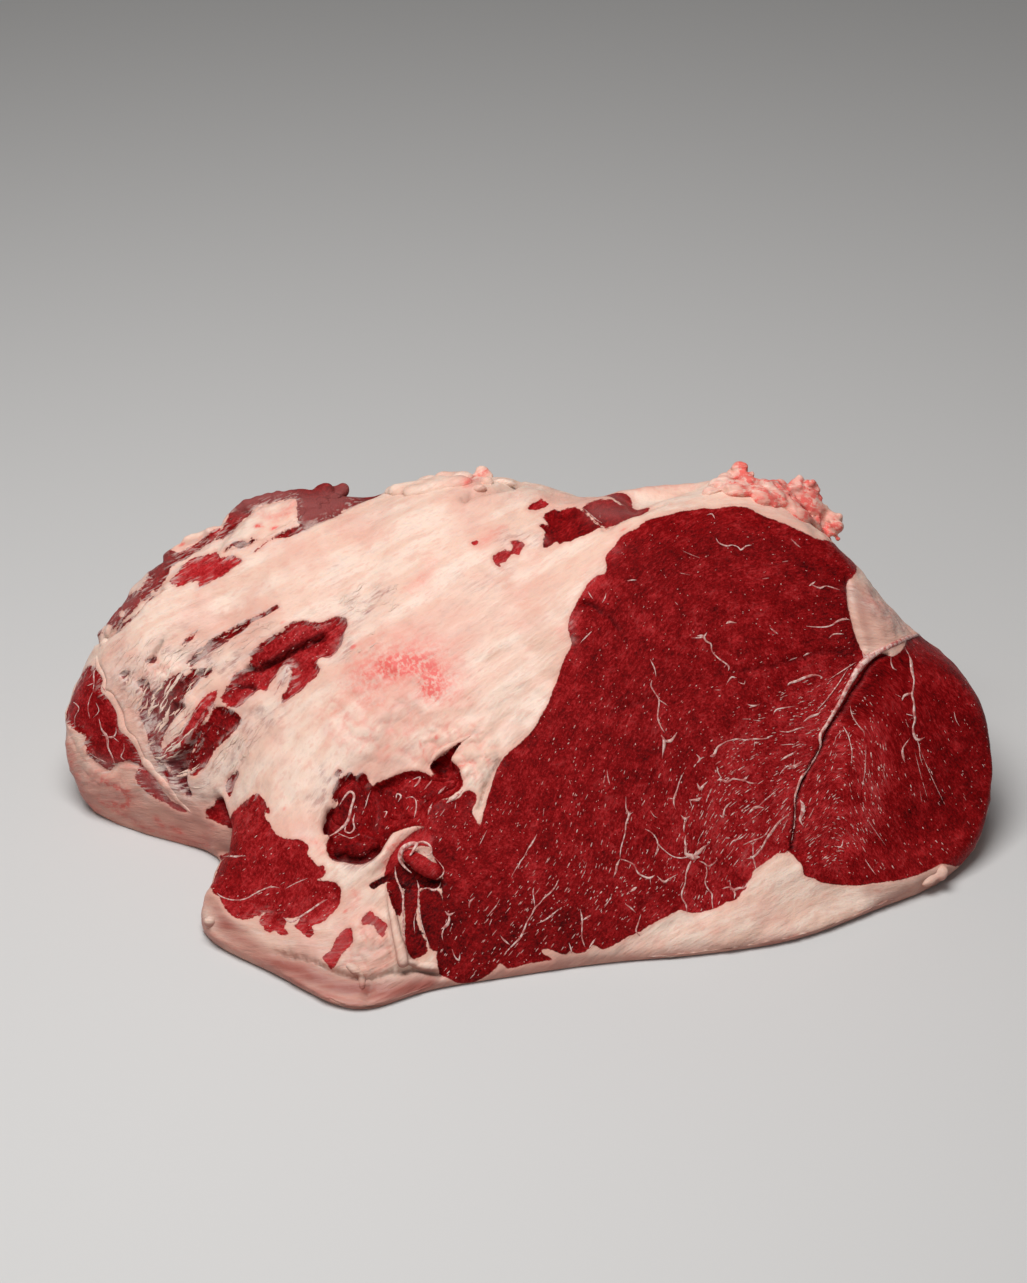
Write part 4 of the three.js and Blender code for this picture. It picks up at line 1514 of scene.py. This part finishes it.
# Marbling: x, y and width in pixels
veins = [
    # cut face of the big muscle
    [652, 680, 2.2, 651, 686, 2.2, 655, 693, 2, 659, 700, 2.5, 658, 712, 2.6, 658, 719, 2.6,
     661, 727, 2, 665, 733, 1], [659, 700, 2, 664, 703, 1.8, 668, 706, 1],
    [661, 735, 2, 664, 740, 5, 664, 746, 5, 663, 752, 2.5, 662, 759, 1],
    [663, 741, 5, 670, 741, 5, 674, 737, 3, 677, 732, 1.6],
    [684, 772, 1, 680, 780, 1.8, 677, 790, 2.2, 674, 798, 3, 674, 805, 2, 676, 810, 1.4],
    [668, 798, 1.4, 674, 799, 3], [645, 800, 3.6, 642, 806, 2],
    [689, 800, 4, 697, 800, 4.5, 702, 797, 2], [690, 801, 3.5, 692, 807, 1.8],
    [626, 796, 1.2, 626, 808, 1.8, 629, 815, 3.6, 626, 824, 2.4, 625, 834, 2, 621, 848, 1.8,
     620, 859, 2], [629, 815, 3, 633, 812, 1.2],
    [620, 859, 2.4, 617, 865, 3.6, 616, 871, 3.2, 613, 878, 1.2],
    [620, 859, 2, 627, 861, 1.8, 634, 865, 2, 638, 873, 2.4, 645, 877, 2.8, 650, 878, 3.4,
     655, 875, 2], [650, 878, 2.4, 651, 886, 1],
    [657, 876, 1.6, 664, 882, 4, 669, 879, 2.4, 678, 874, 1],
    [650, 810, 1, 654, 816, 1.4, 658, 818, 1],
    [645, 829, 3, 652, 833, 1.4, 657, 840, 2, 658, 844, 2.4, 664, 850, 1.4, 672, 856, 1.4,
     680, 858, 2, 688, 857, 4], [658, 844, 1.8, 657, 850, 1.8, 654, 858, 1],
    [700, 857, 5, 693, 857, 9, 686, 854, 5, 686, 847, 3.4, 685, 841, 3, 686, 835, 2],
    [693, 856, 8, 699, 852, 6, 704, 847, 3, 709, 844, 1],
    [691, 861, 6, 688, 868, 4, 686, 874, 2, 685, 884, 1.8, 682, 892, 2.8, 682, 898, 2.2,
     686, 905, 2.4, 687, 913, 3],
    [699, 861, 3, 704, 863, 2, 708, 866, 2.6, 713, 864, 2, 718, 859, 1],
    [706, 866, 2, 707, 873, 1.8, 705, 882, 1.8, 708, 889, 2, 712, 894, 2.4, 712, 901, 2,
     713, 909, 2.4], [681, 815, 1.4, 685, 819, 5, 690, 816, 2.6],
    [685, 819, 4, 684, 827, 2.4, 684, 833, 1],
    [537, 834, 1.2, 534, 840, 2.4, 531, 845, 3, 528, 849, 1.4, 524, 857, 1.4, 520, 862, 2.4,
     518, 869, 1.6], [520, 862, 1.8, 514, 872, 1.4, 511, 878, 1],
    [559, 879, 1.6, 555, 887, 2, 550, 893, 2.4, 544, 898, 2, 540, 903, 1.4, 535, 908, 3,
     532, 914, 2, 527, 922, 2, 524, 930, 3, 520, 938, 3.4, 514, 944, 2.4, 508, 950, 1.4,
     503, 956, 1], [535, 908, 2.6, 534, 900, 1.4, 533, 892, 2, 534, 887, 1.2],
    [510, 945, 3.6, 504, 940, 2.8, 500, 935, 1], [520, 936, 3, 528, 932, 1.6],
    [560, 908, 1, 553, 914, 2, 545, 920, 2, 536, 924, 1],
    [580, 909, 1.2, 582, 918, 3, 582, 928, 2, 582, 938, 2, 585, 947, 3.4],
    [583, 920, 3, 588, 917, 3.4, 591, 915, 1.4], [569, 943, 1.6, 571, 949, 2.4, 572, 954, 3],
    [596, 938, 1.8, 593, 942, 2.6, 589, 948, 3], [469, 908, 1.6, 470, 902, 3.6, 475, 897, 1.6],
    [445, 911, 2.4, 449, 915, 4.6, 455, 912, 2.4],
    [449, 915, 4.4, 449, 921, 4, 446, 926, 5, 441, 929, 2.6],
    [445, 926, 3, 442, 934, 2, 443, 941, 1],
    [452, 949, 1.6, 455, 957, 1.8, 459, 960, 3, 460, 953, 1],
    [500, 899, 1.4, 496, 906, 1.6, 491, 912, 1.6, 487, 917, 1], [492, 919, 3, 489, 926, 1.4],
    [630, 892, 4.4, 634, 889, 4.4, 637, 887, 3], [612, 895, 1, 608, 902, 1.4, 604, 908, 1],
    [641, 914, 1.8, 638, 924, 2.4, 636, 931, 2.8, 640, 936, 3],
    [625, 904, 1.8, 631, 908, 2.2, 636, 913, 1], [607, 770, 1.4, 608, 778, 1.8, 610, 785, 1.8],
    [569, 780, 2.2, 571, 785, 1.8], [588, 794, 2.4, 585, 800, 1], [544, 808, 2, 543, 817, 1],
    [549, 857, 2.4, 545, 864, 1.4], [487, 830, 1, 482, 840, 1.4, 479, 846, 1],
    [697, 636, 3, 703, 636, 4, 706, 641, 3, 711, 644, 2.6, 712, 651, 2, 718, 658, 2, 725, 663, 2.4,
     729, 667, 3, 728, 671, 1.4], [691, 638, 1.4, 703, 637, 3, 707, 632, 1.6],
    [788, 661, 1.4, 793, 659, 3, 798, 657, 1.6], [803, 656, 1.6, 807, 654, 3, 812, 652, 1.6],
    [726, 685, 1, 729, 680, 2, 732, 677, 2.6, 737, 678, 1.4],
    [787, 686, 1.2, 790, 683, 3, 797, 681, 4, 806, 677, 4, 815, 675, 3, 823, 677, 1],
    [780, 696, 1.6, 786, 692, 1.6], [714, 690, 1.4, 721, 690, 2.6],
    [747, 704, 1.2, 753, 706, 3, 760, 704, 1.6],
    [773, 715, 1.8, 776, 710, 2.4, 783, 708, 2, 796, 706, 1.4], [742, 719, 1, 750, 719, 2.4],
    [753, 720, 1.6, 761, 721, 2.6], [793, 716, 1.2, 799, 716, 2.6],
    [803, 722, 1.6, 810, 717, 3.6, 818, 714, 2.6, 821, 710, 1],
    [779, 731, 1.2, 788, 732, 1.8, 797, 729, 2.4, 804, 727, 1], [781, 745, 1.6, 794, 744, 2.4],
    [710, 756, 6, 714, 755, 5, 717, 748, 3, 722, 744, 2, 728, 741, 1.4, 738, 739, 2.4,
     745, 740, 1.8, 752, 739, 2, 762, 739, 2.4, 769, 738, 1.6], [755, 741, 2, 754, 748, 1.2],
    [696, 754, 1.6, 700, 759, 4, 696, 764, 1.6], [700, 759, 3, 704, 757, 1.6],
    [722, 779, 1.6, 718, 772, 1.8, 717, 766, 2],
    [716, 780, 1, 722, 780, 3.6, 727, 782, 4, 733, 779, 2, 741, 780, 2.4, 744, 780, 4,
     749, 775, 1.6], [744, 780, 3, 750, 783, 2.6, 757, 783, 1.6],
    [780, 761, 1.4, 786, 757, 3, 792, 754, 2.6, 796, 751, 1.4],
    [779, 775, 1.2, 784, 769, 2, 788, 766, 2.4, 793, 767, 6, 797, 765, 4, 802, 761, 1.6],
    [794, 765, 4, 795, 758, 2], [697, 783, 2.6, 700, 789, 5, 704, 785, 3, 708, 781, 1],
    [720, 815, 3, 723, 817, 3.6, 725, 808, 2, 731, 802, 1.8],
    [762, 803, 1, 770, 796, 1.4, 780, 787, 1],
    [747, 815, 1.4, 753, 809, 4, 758, 807, 4, 764, 808, 1.6],
    [758, 807, 3, 765, 800, 1.6, 773, 793, 1],
    [743, 845, 1.6, 752, 841, 2, 760, 838, 1.6, 766, 834, 1.8, 771, 825, 1],
    [745, 859, 1.6, 753, 857, 3, 761, 849, 3, 766, 840, 3, 773, 830, 4, 779, 822, 3, 785, 817, 2,
     792, 811, 1], [752, 856, 2.6, 754, 861, 3, 756, 869, 4],
    [753, 842, 1.6, 753, 850, 1.4, 753, 857, 2],
    [729, 847, 1.4, 733, 841, 2, 741, 838, 2, 747, 833, 1], [725, 838, 2, 730, 838, 2.6],
    [722, 889, 1.4, 729, 887, 2.6, 734, 890, 4.4, 739, 888, 3.6, 744, 888, 3, 748, 883, 1.6],
    [730, 880, 1.2, 731, 888, 2, 735, 893, 3.4, 734, 899, 1.6],
    [707, 515, 1.4, 712, 514, 3, 715, 519, 1.4],
    [716, 538, 1.4, 719, 543, 2, 727, 546, 2.6, 732, 545, 1.4, 738, 547, 1.4, 741, 550, 2.6,
     746, 546, 2, 752, 545, 2], [791, 539, 1, 796, 544, 3.2, 801, 548, 1],
    [683, 551, 1, 692, 555, 1, 700, 558, 2], [627, 581, 2.6, 632, 580, 2, 637, 580, 1],
    [680, 573, 1.4, 690, 575, 2], [762, 579, 1.4, 769, 578, 2.6],
    [809, 586, 1.8, 812, 584, 3, 816, 581, 1],
    [812, 585, 1.4, 820, 588, 3, 826, 586, 1.4, 834, 588, 2, 840, 590, 1.2],
    [782, 562, 1, 788, 561, 2.6], [675, 602, 2, 678, 605, 2.6],
    [726, 624, 1.4, 729, 622, 4, 737, 623, 1.4], [770, 628, 1, 774, 631, 3, 778, 634, 3.4],
    [806, 626, 1, 815, 627, 1.6, 825, 627, 2, 832, 625, 2, 838, 621, 3, 845, 619, 3, 850, 620, 1.4],
    [829, 638, 2.4, 834, 634, 2, 844, 634, 2.8], [592, 631, 2, 586, 637, 2, 580, 643, 1],
    [588, 591, 1, 590, 595, 1.6, 593, 599, 1.8], [602, 603, 2.4, 605, 598, 1.8, 606, 593, 1],
    [650, 659, 1.8, 653, 665, 2, 655, 670, 1.8, 656, 677, 1],
    [738, 682, 1, 744, 684, 1.8, 745, 680, 1],
    # septa of the eye muscle
    [904, 647, 2, 909, 655, 3, 911, 662, 6, 912, 672, 6, 914, 680, 3, 913, 690, 3, 912, 695, 4,
     914, 703, 3, 914, 712, 5, 915, 720, 4, 913, 727, 3, 914, 735, 5, 918, 740, 5, 925, 737, 1.6],
    [902, 701, 1.6, 904, 696, 4, 908, 694, 3.6, 913, 693, 4], [895, 694, 1.6, 901, 697, 3],
    [906, 714, 2.4, 914, 716, 3], [906, 722, 2.4, 909, 728, 1.6],
    [910, 738, 1.4, 903, 748, 2.6, 903, 756, 4.6, 905, 763, 1.4],
    [915, 737, 2, 919, 745, 1.6, 920, 756, 1.2, 923, 766, 1],
    [891, 655, 1, 891, 662, 2.2, 893, 668, 2.8, 897, 670, 1.2],
    [850, 705, 1, 852, 715, 1.6, 858, 725, 1.6, 864, 732, 2.4, 864, 737, 1],
    [843, 726, 2.6, 848, 735, 2, 850, 742, 1.6, 852, 752, 1.6, 851, 766, 1],
    [843, 730, 2, 836, 737, 1.2, 835, 745, 1],
    [866, 817, 1, 871, 825, 1.2, 878, 835, 1, 886, 846, 1],
    [865, 859, 1, 870, 867, 1.6, 876, 875, 1.8], [834, 846, 1.4, 841, 847, 2.6, 843, 840, 1.8],
    [920, 792, 1.2, 922, 802, 1.8], [954, 712, 2, 956, 720, 1.4, 960, 727, 1],
    [800, 800, 4, 803, 806, 7, 802, 814, 6, 800, 820, 4, 804, 827, 2.4],
    [918, 745, 1, 932, 778, 1.2, 945, 805, 1], [915, 752, 1, 921, 776, 1.2, 928, 800, 1],
    [866, 745, 1.2, 865, 770, 1.4, 862, 790, 1],
    # septa between the strips under the vessel
    [395, 866, 2, 396, 877, 3, 400, 887, 3.4, 403, 896, 3.4, 403, 915, 3, 404, 935, 2.4,
     406, 946, 1.6],
    [417, 880, 2, 419, 890, 3.4, 418, 900, 2, 419, 910, 2.4, 422, 925, 2, 426, 937, 1.6,
     430, 949, 2.4], [416, 912, 1, 414, 922, 1.4, 415, 934, 1],
    [420, 890, 2, 427, 888, 3, 434, 890, 4, 439, 887, 2, 441, 882, 1.4],
    # membrane in the pocket
    [339, 806, 1.6, 344, 798, 3, 349, 792, 4, 353, 793, 4, 354, 798, 4, 351, 808, 4, 349, 818, 5,
     345, 825, 5, 338, 831, 4, 332, 835, 3, 325, 838, 2.4],
    [354, 822, 2, 354, 829, 3, 350, 833, 3, 345, 831, 3, 346, 825, 3],
    [355, 813, 2, 353, 822, 3, 356, 829, 2], [338, 833, 3, 344, 836, 3, 352, 838, 3, 360, 834, 2],
    [334, 838, 2, 341, 834, 3], [371, 790, 1.6, 368, 797, 1.8, 366, 805, 1.6, 364, 809, 1],
    [398, 802, 3, 401, 796, 3, 397, 794, 2.6, 396, 800, 2],
    [384, 818, 1.6, 387, 812, 2.6, 383, 812, 1.4],
    [405, 798, 1.4, 412, 797, 2, 416, 801, 2, 416, 810, 2.6, 414, 818, 2],
    [428, 815, 3, 430, 808, 5, 433, 802, 3], [438, 794, 4, 442, 790, 3.4, 446, 786, 2],
    [424, 790, 3, 429, 784, 3, 432, 780, 2], [446, 803, 5, 452, 799, 5, 458, 795, 4, 463, 790, 2],
    [440, 816, 2.6, 445, 809, 1.6], [414, 787, 3, 418, 783, 4, 420, 777, 3, 412, 780, 2],
    [456, 802, 2.4, 455, 809, 1.6],
    # white threads in the torn patches and at the left end
    [217, 893, 2.6, 222, 897, 2.2, 233, 900, 2, 245, 899, 2, 256, 893, 2, 270, 887, 2,
     280, 888, 1.2],
    [283, 917, 2.4, 291, 922, 4, 300, 917, 3, 312, 909, 3, 322, 902, 2.6, 328, 899, 1.6],
    [222, 857, 2, 230, 856, 3, 237, 857, 1.6, 243, 855, 1],
    [99, 718, 1, 100, 723, 2, 102, 730, 3, 107, 737, 6, 108, 747, 3.4, 112, 756, 3, 115, 765, 3.6],
    [107, 737, 5, 113, 737, 3.4, 116, 733, 2, 116, 727, 1], [113, 737, 3, 119, 742, 1.4],
    [107, 736, 4, 102, 735, 1.6], [124, 743, 1, 124, 750, 1.6, 121, 757, 2.4, 127, 761, 1.6],
    [94, 690, 1.4, 90, 698, 2, 88, 708, 2, 90, 719, 1],
    [99, 667, 1.4, 94, 672, 3, 94, 683, 3.6, 93, 691, 1.6], [94, 683, 3.4, 87, 686, 2],
    [94, 672, 2, 86, 681, 1.6], [96, 703, 2, 99, 711, 1.6, 93, 718, 1.6],
    [70, 700, 1, 76, 704, 2, 79, 709, 2, 75, 717, 2, 75, 727, 1],
    [135, 781, 1, 136, 774, 2, 143, 769, 1], [224, 857, 1, 234, 856, 1.6, 246, 856, 1],
    [285, 889, 1.6, 296, 883, 1.4, 308, 878, 1], [101, 685, 3, 106, 692, 4],
    [88, 752, 1, 97, 758, 1.8, 108, 763, 2.6],
    [274, 696, 1.4, 280, 684, 1.6, 286, 672, 1.4, 290, 660, 1], [232, 690, 1.6, 238, 688, 1.2],
    [583, 508, 1.4, 590, 514, 2.2, 597, 520, 2.4, 602, 523, 2], [600, 512, 1.2, 600, 518, 1.4],
    [162, 737, 1.4, 175, 727, 1.6, 188, 715, 1.6, 198, 705, 1],
    [216, 700, 1, 210, 712, 1.4, 203, 724, 1],
]
veinSettings = {
    "steps": 3,
    "width": 0.68,  # times the widths above
    "proud": 0.16,  # how much of its height a vein keeps above the skin
    "lift": 0.06,  # mm
}


def pressedTubes(paths, settings):
    # Tubes that lie on the surface and are pressed flat on it, as wide as before
    tubes = []
    for path in paths:
        line = smoothLine(path, steps=settings["steps"])
        places = []
        for i, (x, y, width) in enumerate(line):
            place, _ = onSurface(x, y)
            if place is not None:
                taper = smoothStep(-1, 3, min(i, len(line) - 1 - i))
                places.append((place, width * settings["width"] * taper * pixelSize * mm / 2))
        if len(places) > 1:
            tubes.append(places)
    bm = bmesh.new()
    addMesh(bm, roundTubes(tubes, 1))
    bmesh.ops.remove_doubles(bm, verts=bm.verts, dist=0.001 * mm)
    for vert in bm.verts:
        place, normal, _, _ = surfaceTree.find_nearest(vert.co)
        height = (vert.co - place).dot(normal)
        wanted = height * settings["proud"] + settings["lift"] * mm
        vert.co = vert.co + normal * (wanted - height)
    bmesh.ops.recalc_face_normals(bm, faces=bm.faces)
    return bm


print("veins")
veinPaths = [spotsOf(vein, 3) for vein in veins]
newPiece("marbling", pressedTubes(veinPaths, veinSettings), veinLook)

# Small flecks of fat along the grain
fleckSettings = {
    "seed": 11,
    "count": {
        "bigMuscle": 1300, "eyeMuscle": 340, "flapPatch": 70, "tornUpper": 60, "pocket": 50,
        "slotPatch": 14,
    },
    "length": (0.22, 1.5),  # mm, half of the longest
    "width": (0.13, 0.33),  # mm, half
    "height": 0.13,  # mm, half
    "lift": 0.02,  # mm
    "inset": 2,  # pixels inside the lean
    "sparse": 0.45,  # share kept at the top of the cut face
    "fade": (620, 820),  # rows in which the share rises to 1
    # how many short streaks, half of the longest in mm, and their outline
    "streaks": [
        (330, 3.2, [862, 664, 836, 704, 818, 735, 800, 780, 794, 850, 756, 866, 700, 868, 676, 840,
             690, 790, 740, 740, 780, 690, 830, 668]),
        (240, 2.6, [846, 716, 866, 696, 884, 720, 890, 800, 860, 860, 812, 872, 800, 820,
             822, 758]),
        (120, 2.4, [560, 850, 680, 850, 690, 900, 600, 940, 500, 960, 470, 900]),
    ],
    "eyeLine": 825,  # pixels; streaks right of this lie as the eye muscle's fibres do
    "step": 3,  # pixels ahead to the point that a fleck is turned to
    "jump": 6,  # mm; a step longer than this has left the surface
}


def makeFlecks():
    draw = np.random.RandomState(fleckSettings["seed"])
    jobs, balls = [], []
    for name, count in fleckSettings["count"].items():
        curve = patchCurves[name]
        flow = eyeFlow if name == "eyeMuscle" else leanFlow
        spots = draw.uniform(curve.min(axis=0), curve.max(axis=0), (count * 6, 2))
        keep = lerp(fleckSettings["sparse"], 1.0, smoothStep(*fleckSettings["fade"], spots[:, 1]))
        within = insideOf(spots, curve) > fleckSettings["inset"]
        kept = within & (draw.random_sample(len(spots)) < keep)
        jobs.append((spots[kept][:count], flow, fleckSettings["length"]))
    for count, longest, outline in fleckSettings["streaks"]:
        area = spotsOf(outline)
        flow = eyeFlow if area[:, 0].mean() > fleckSettings["eyeLine"] else leanFlow
        jobs.append((drawInside(draw, area, count, 3), flow, (0.6, longest)))
    for spots, flow, span in jobs:
        turns = np.stack([readField(flow, way, spots) for way in ("flowX", "flowY")], axis=1)
        sizes = draw.random_sample((len(spots), 3))
        for spot, turn, (long, wide, _) in zip(spots, turns, sizes):
            place, normal = onSurface(*spot)
            ahead, _ = onSurface(*(spot + turn * fleckSettings["step"]))
            if place is None or ahead is None:
                continue
            if (ahead - place).length > fleckSettings["jump"] * mm:
                continue
            along = (ahead - place).normalized()
            axes = (along, normal.cross(along).normalized(), normal)
            low = smoothStep(600, 860, spot[1])
            length = lerp(*span, long**3 * (0.35 + 0.65 * low))
            width = lerp(*fleckSettings["width"], wide**2)
            centre = place + normal * fleckSettings["lift"] * mm
            balls.append((ballAt(centre, axes, (length, width, fleckSettings["height"])), 1))
    bm = bmesh.new()
    addBalls(bm, balls)
    return bm


print("flecks")
newPiece("flecks", makeFlecks(), veinLook)

# The membrane that lines the seam between the two muscles: x, y and width in pixels
ribbon = [
    [926, 634, 2, 914, 636, 4, 901, 641, 5, 888, 647, 5, 876, 653, 6, 866, 660, 8, 859, 668, 8,
     852, 679, 6, 846, 690, 5, 840, 702, 4.6, 834, 712, 4, 827, 724, 4, 820, 735, 3.4,
     820, 745, 3.6, 815, 757, 4.4, 808, 768, 4, 801, 778, 3, 797, 789, 2.6, 794, 800, 2.6,
     795, 812, 2.2, 794, 826, 2, 791, 842, 1.8],
    [862, 652, 3, 866, 658, 6, 869, 652, 3],
    [856, 662, 1.6, 842, 671, 1.2, 828, 680, 1],
    [848, 668, 1, 838, 684, 1.4, 826, 700, 1, 815, 712, 1],
]
ribbonSettings = {"steps": 3, "width": 0.9, "proud": 0.45, "lift": 0.35}
print("ribbon")
ribbonPaths = [spotsOf(line, 3) for line in ribbon]
newPiece("seamMembrane", pressedTubes(ribbonPaths, ribbonSettings), veinLook)

# Threads of membrane over the torn places
threadSettings = {
    "seed": 8,
    "steps": 1,
    "width": 1.0,
    "proud": 0.14,
    "lift": 0.05,
    "wide": (1.6, 4.6),  # pixels
    "wander": 1.7,  # pixels that each step strays
    # how many, half of the longest in pixels, and their outline
    "areas": [
        (95, 15, [110, 650, 165, 640, 205, 655, 200, 690, 180, 740, 185, 795, 160, 775, 140, 740,
             120, 700]),
        (25, 12, [205, 760, 240, 735, 262, 735, 240, 775, 205, 800]),
        (16, 12, [200, 650, 260, 610, 280, 620, 215, 670]),
        (20, 10, [330, 600, 400, 580, 390, 640, 345, 670]),
    ],
}


def makeThreads():
    # Lines that follow the streaks in the fat, thickest in their middles
    draw = np.random.RandomState(threadSettings["seed"])
    paths = []
    for count, long, outline in threadSettings["areas"]:
        for start in drawInside(draw, spotsOf(outline), count):
            wide = draw.uniform(*threadSettings["wide"])
            half = draw.uniform(0.3, 1.0) * long
            spot = start.copy()
            path = []
            for share in np.linspace(-1, 1, 7):
                slope = [readField(fatFlow, way, spot[None, :])[0] for way in ("flowX", "flowY")]
                path.append((*spot, wide * (1 - 0.7 * abs(share))))
                stray = draw.uniform(-threadSettings["wander"], threadSettings["wander"], 2)
                spot = spot + np.array(slope) * half / 3 + stray
            paths.append(np.array(path))
    return pressedTubes(paths, threadSettings)


print("threads")
dress(newPiece("threads", makeThreads(), skinLook), lean=allFat, veil=0.0, blush=0.0)

# Floor, light and camera. Lengths in metres
stageSettings = {
    "floor": (0.62, 0.61, 0.60),
    "floorSize": 4.0,
    "lamps": {  # watts, place and size
        "key": (17.6, (-0.22, -0.25, 1.3), 0.8),
        "fill": (3.0, (-0.6, -1.5, 0.9), 1.0),
    },
    "aim": (0, 0, 0.05),
    "sky": (1, 0.985, 0.97, 1),
    "skyStrength": 0.10,
    "sensor": 36.0,  # mm
    "clip": (0.1, 50.0),
}


def aimedObject(name, data, place, along):
    made = addObject(name, data)
    made.location = place
    made.rotation_mode = "QUATERNION"
    made.rotation_quaternion = along.to_track_quat("-Z", "Y")
    return made


def makeStage():
    bm = bmesh.new()
    bmesh.ops.create_grid(bm, x_segments=1, y_segments=1, size=stageSettings["floorSize"])
    floor = addObject("floor", meshFrom("floor", bm))
    look = Look("paleFloor")
    look.set(Base_Color=stageSettings["floor"], Roughness=0.7)
    floor.data.materials.append(look.material)
    for name, (watts, place, size) in stageSettings["lamps"].items():
        lamp = bpy.data.lights.new(name, "AREA")
        lamp.energy = watts
        lamp.size = size
        aimedObject(name, lamp, place, Vector(stageSettings["aim"]) - Vector(place))
    world = bpy.data.worlds.new("studio")
    world.use_nodes = True
    background = world.node_tree.nodes["Background"]
    background.inputs["Color"].default_value = stageSettings["sky"]
    background.inputs["Strength"].default_value = stageSettings["skyStrength"]
    bpy.context.scene.world = world
    bpy.context.scene.view_settings.view_transform = "Standard"


def makeCamera():
    lens = bpy.data.cameras.new("camera")
    lens.sensor_fit = "HORIZONTAL"
    lens.sensor_width = stageSettings["sensor"]
    lens.lens = stageSettings["sensor"] * shot["focal"] / shot["width"]
    lens.clip_start, lens.clip_end = stageSettings["clip"]
    bpy.context.scene.camera = aimedObject("camera", lens, eyePoint * mm, Vector(lookAlong))


print("stage")
makeStage()
makeCamera()
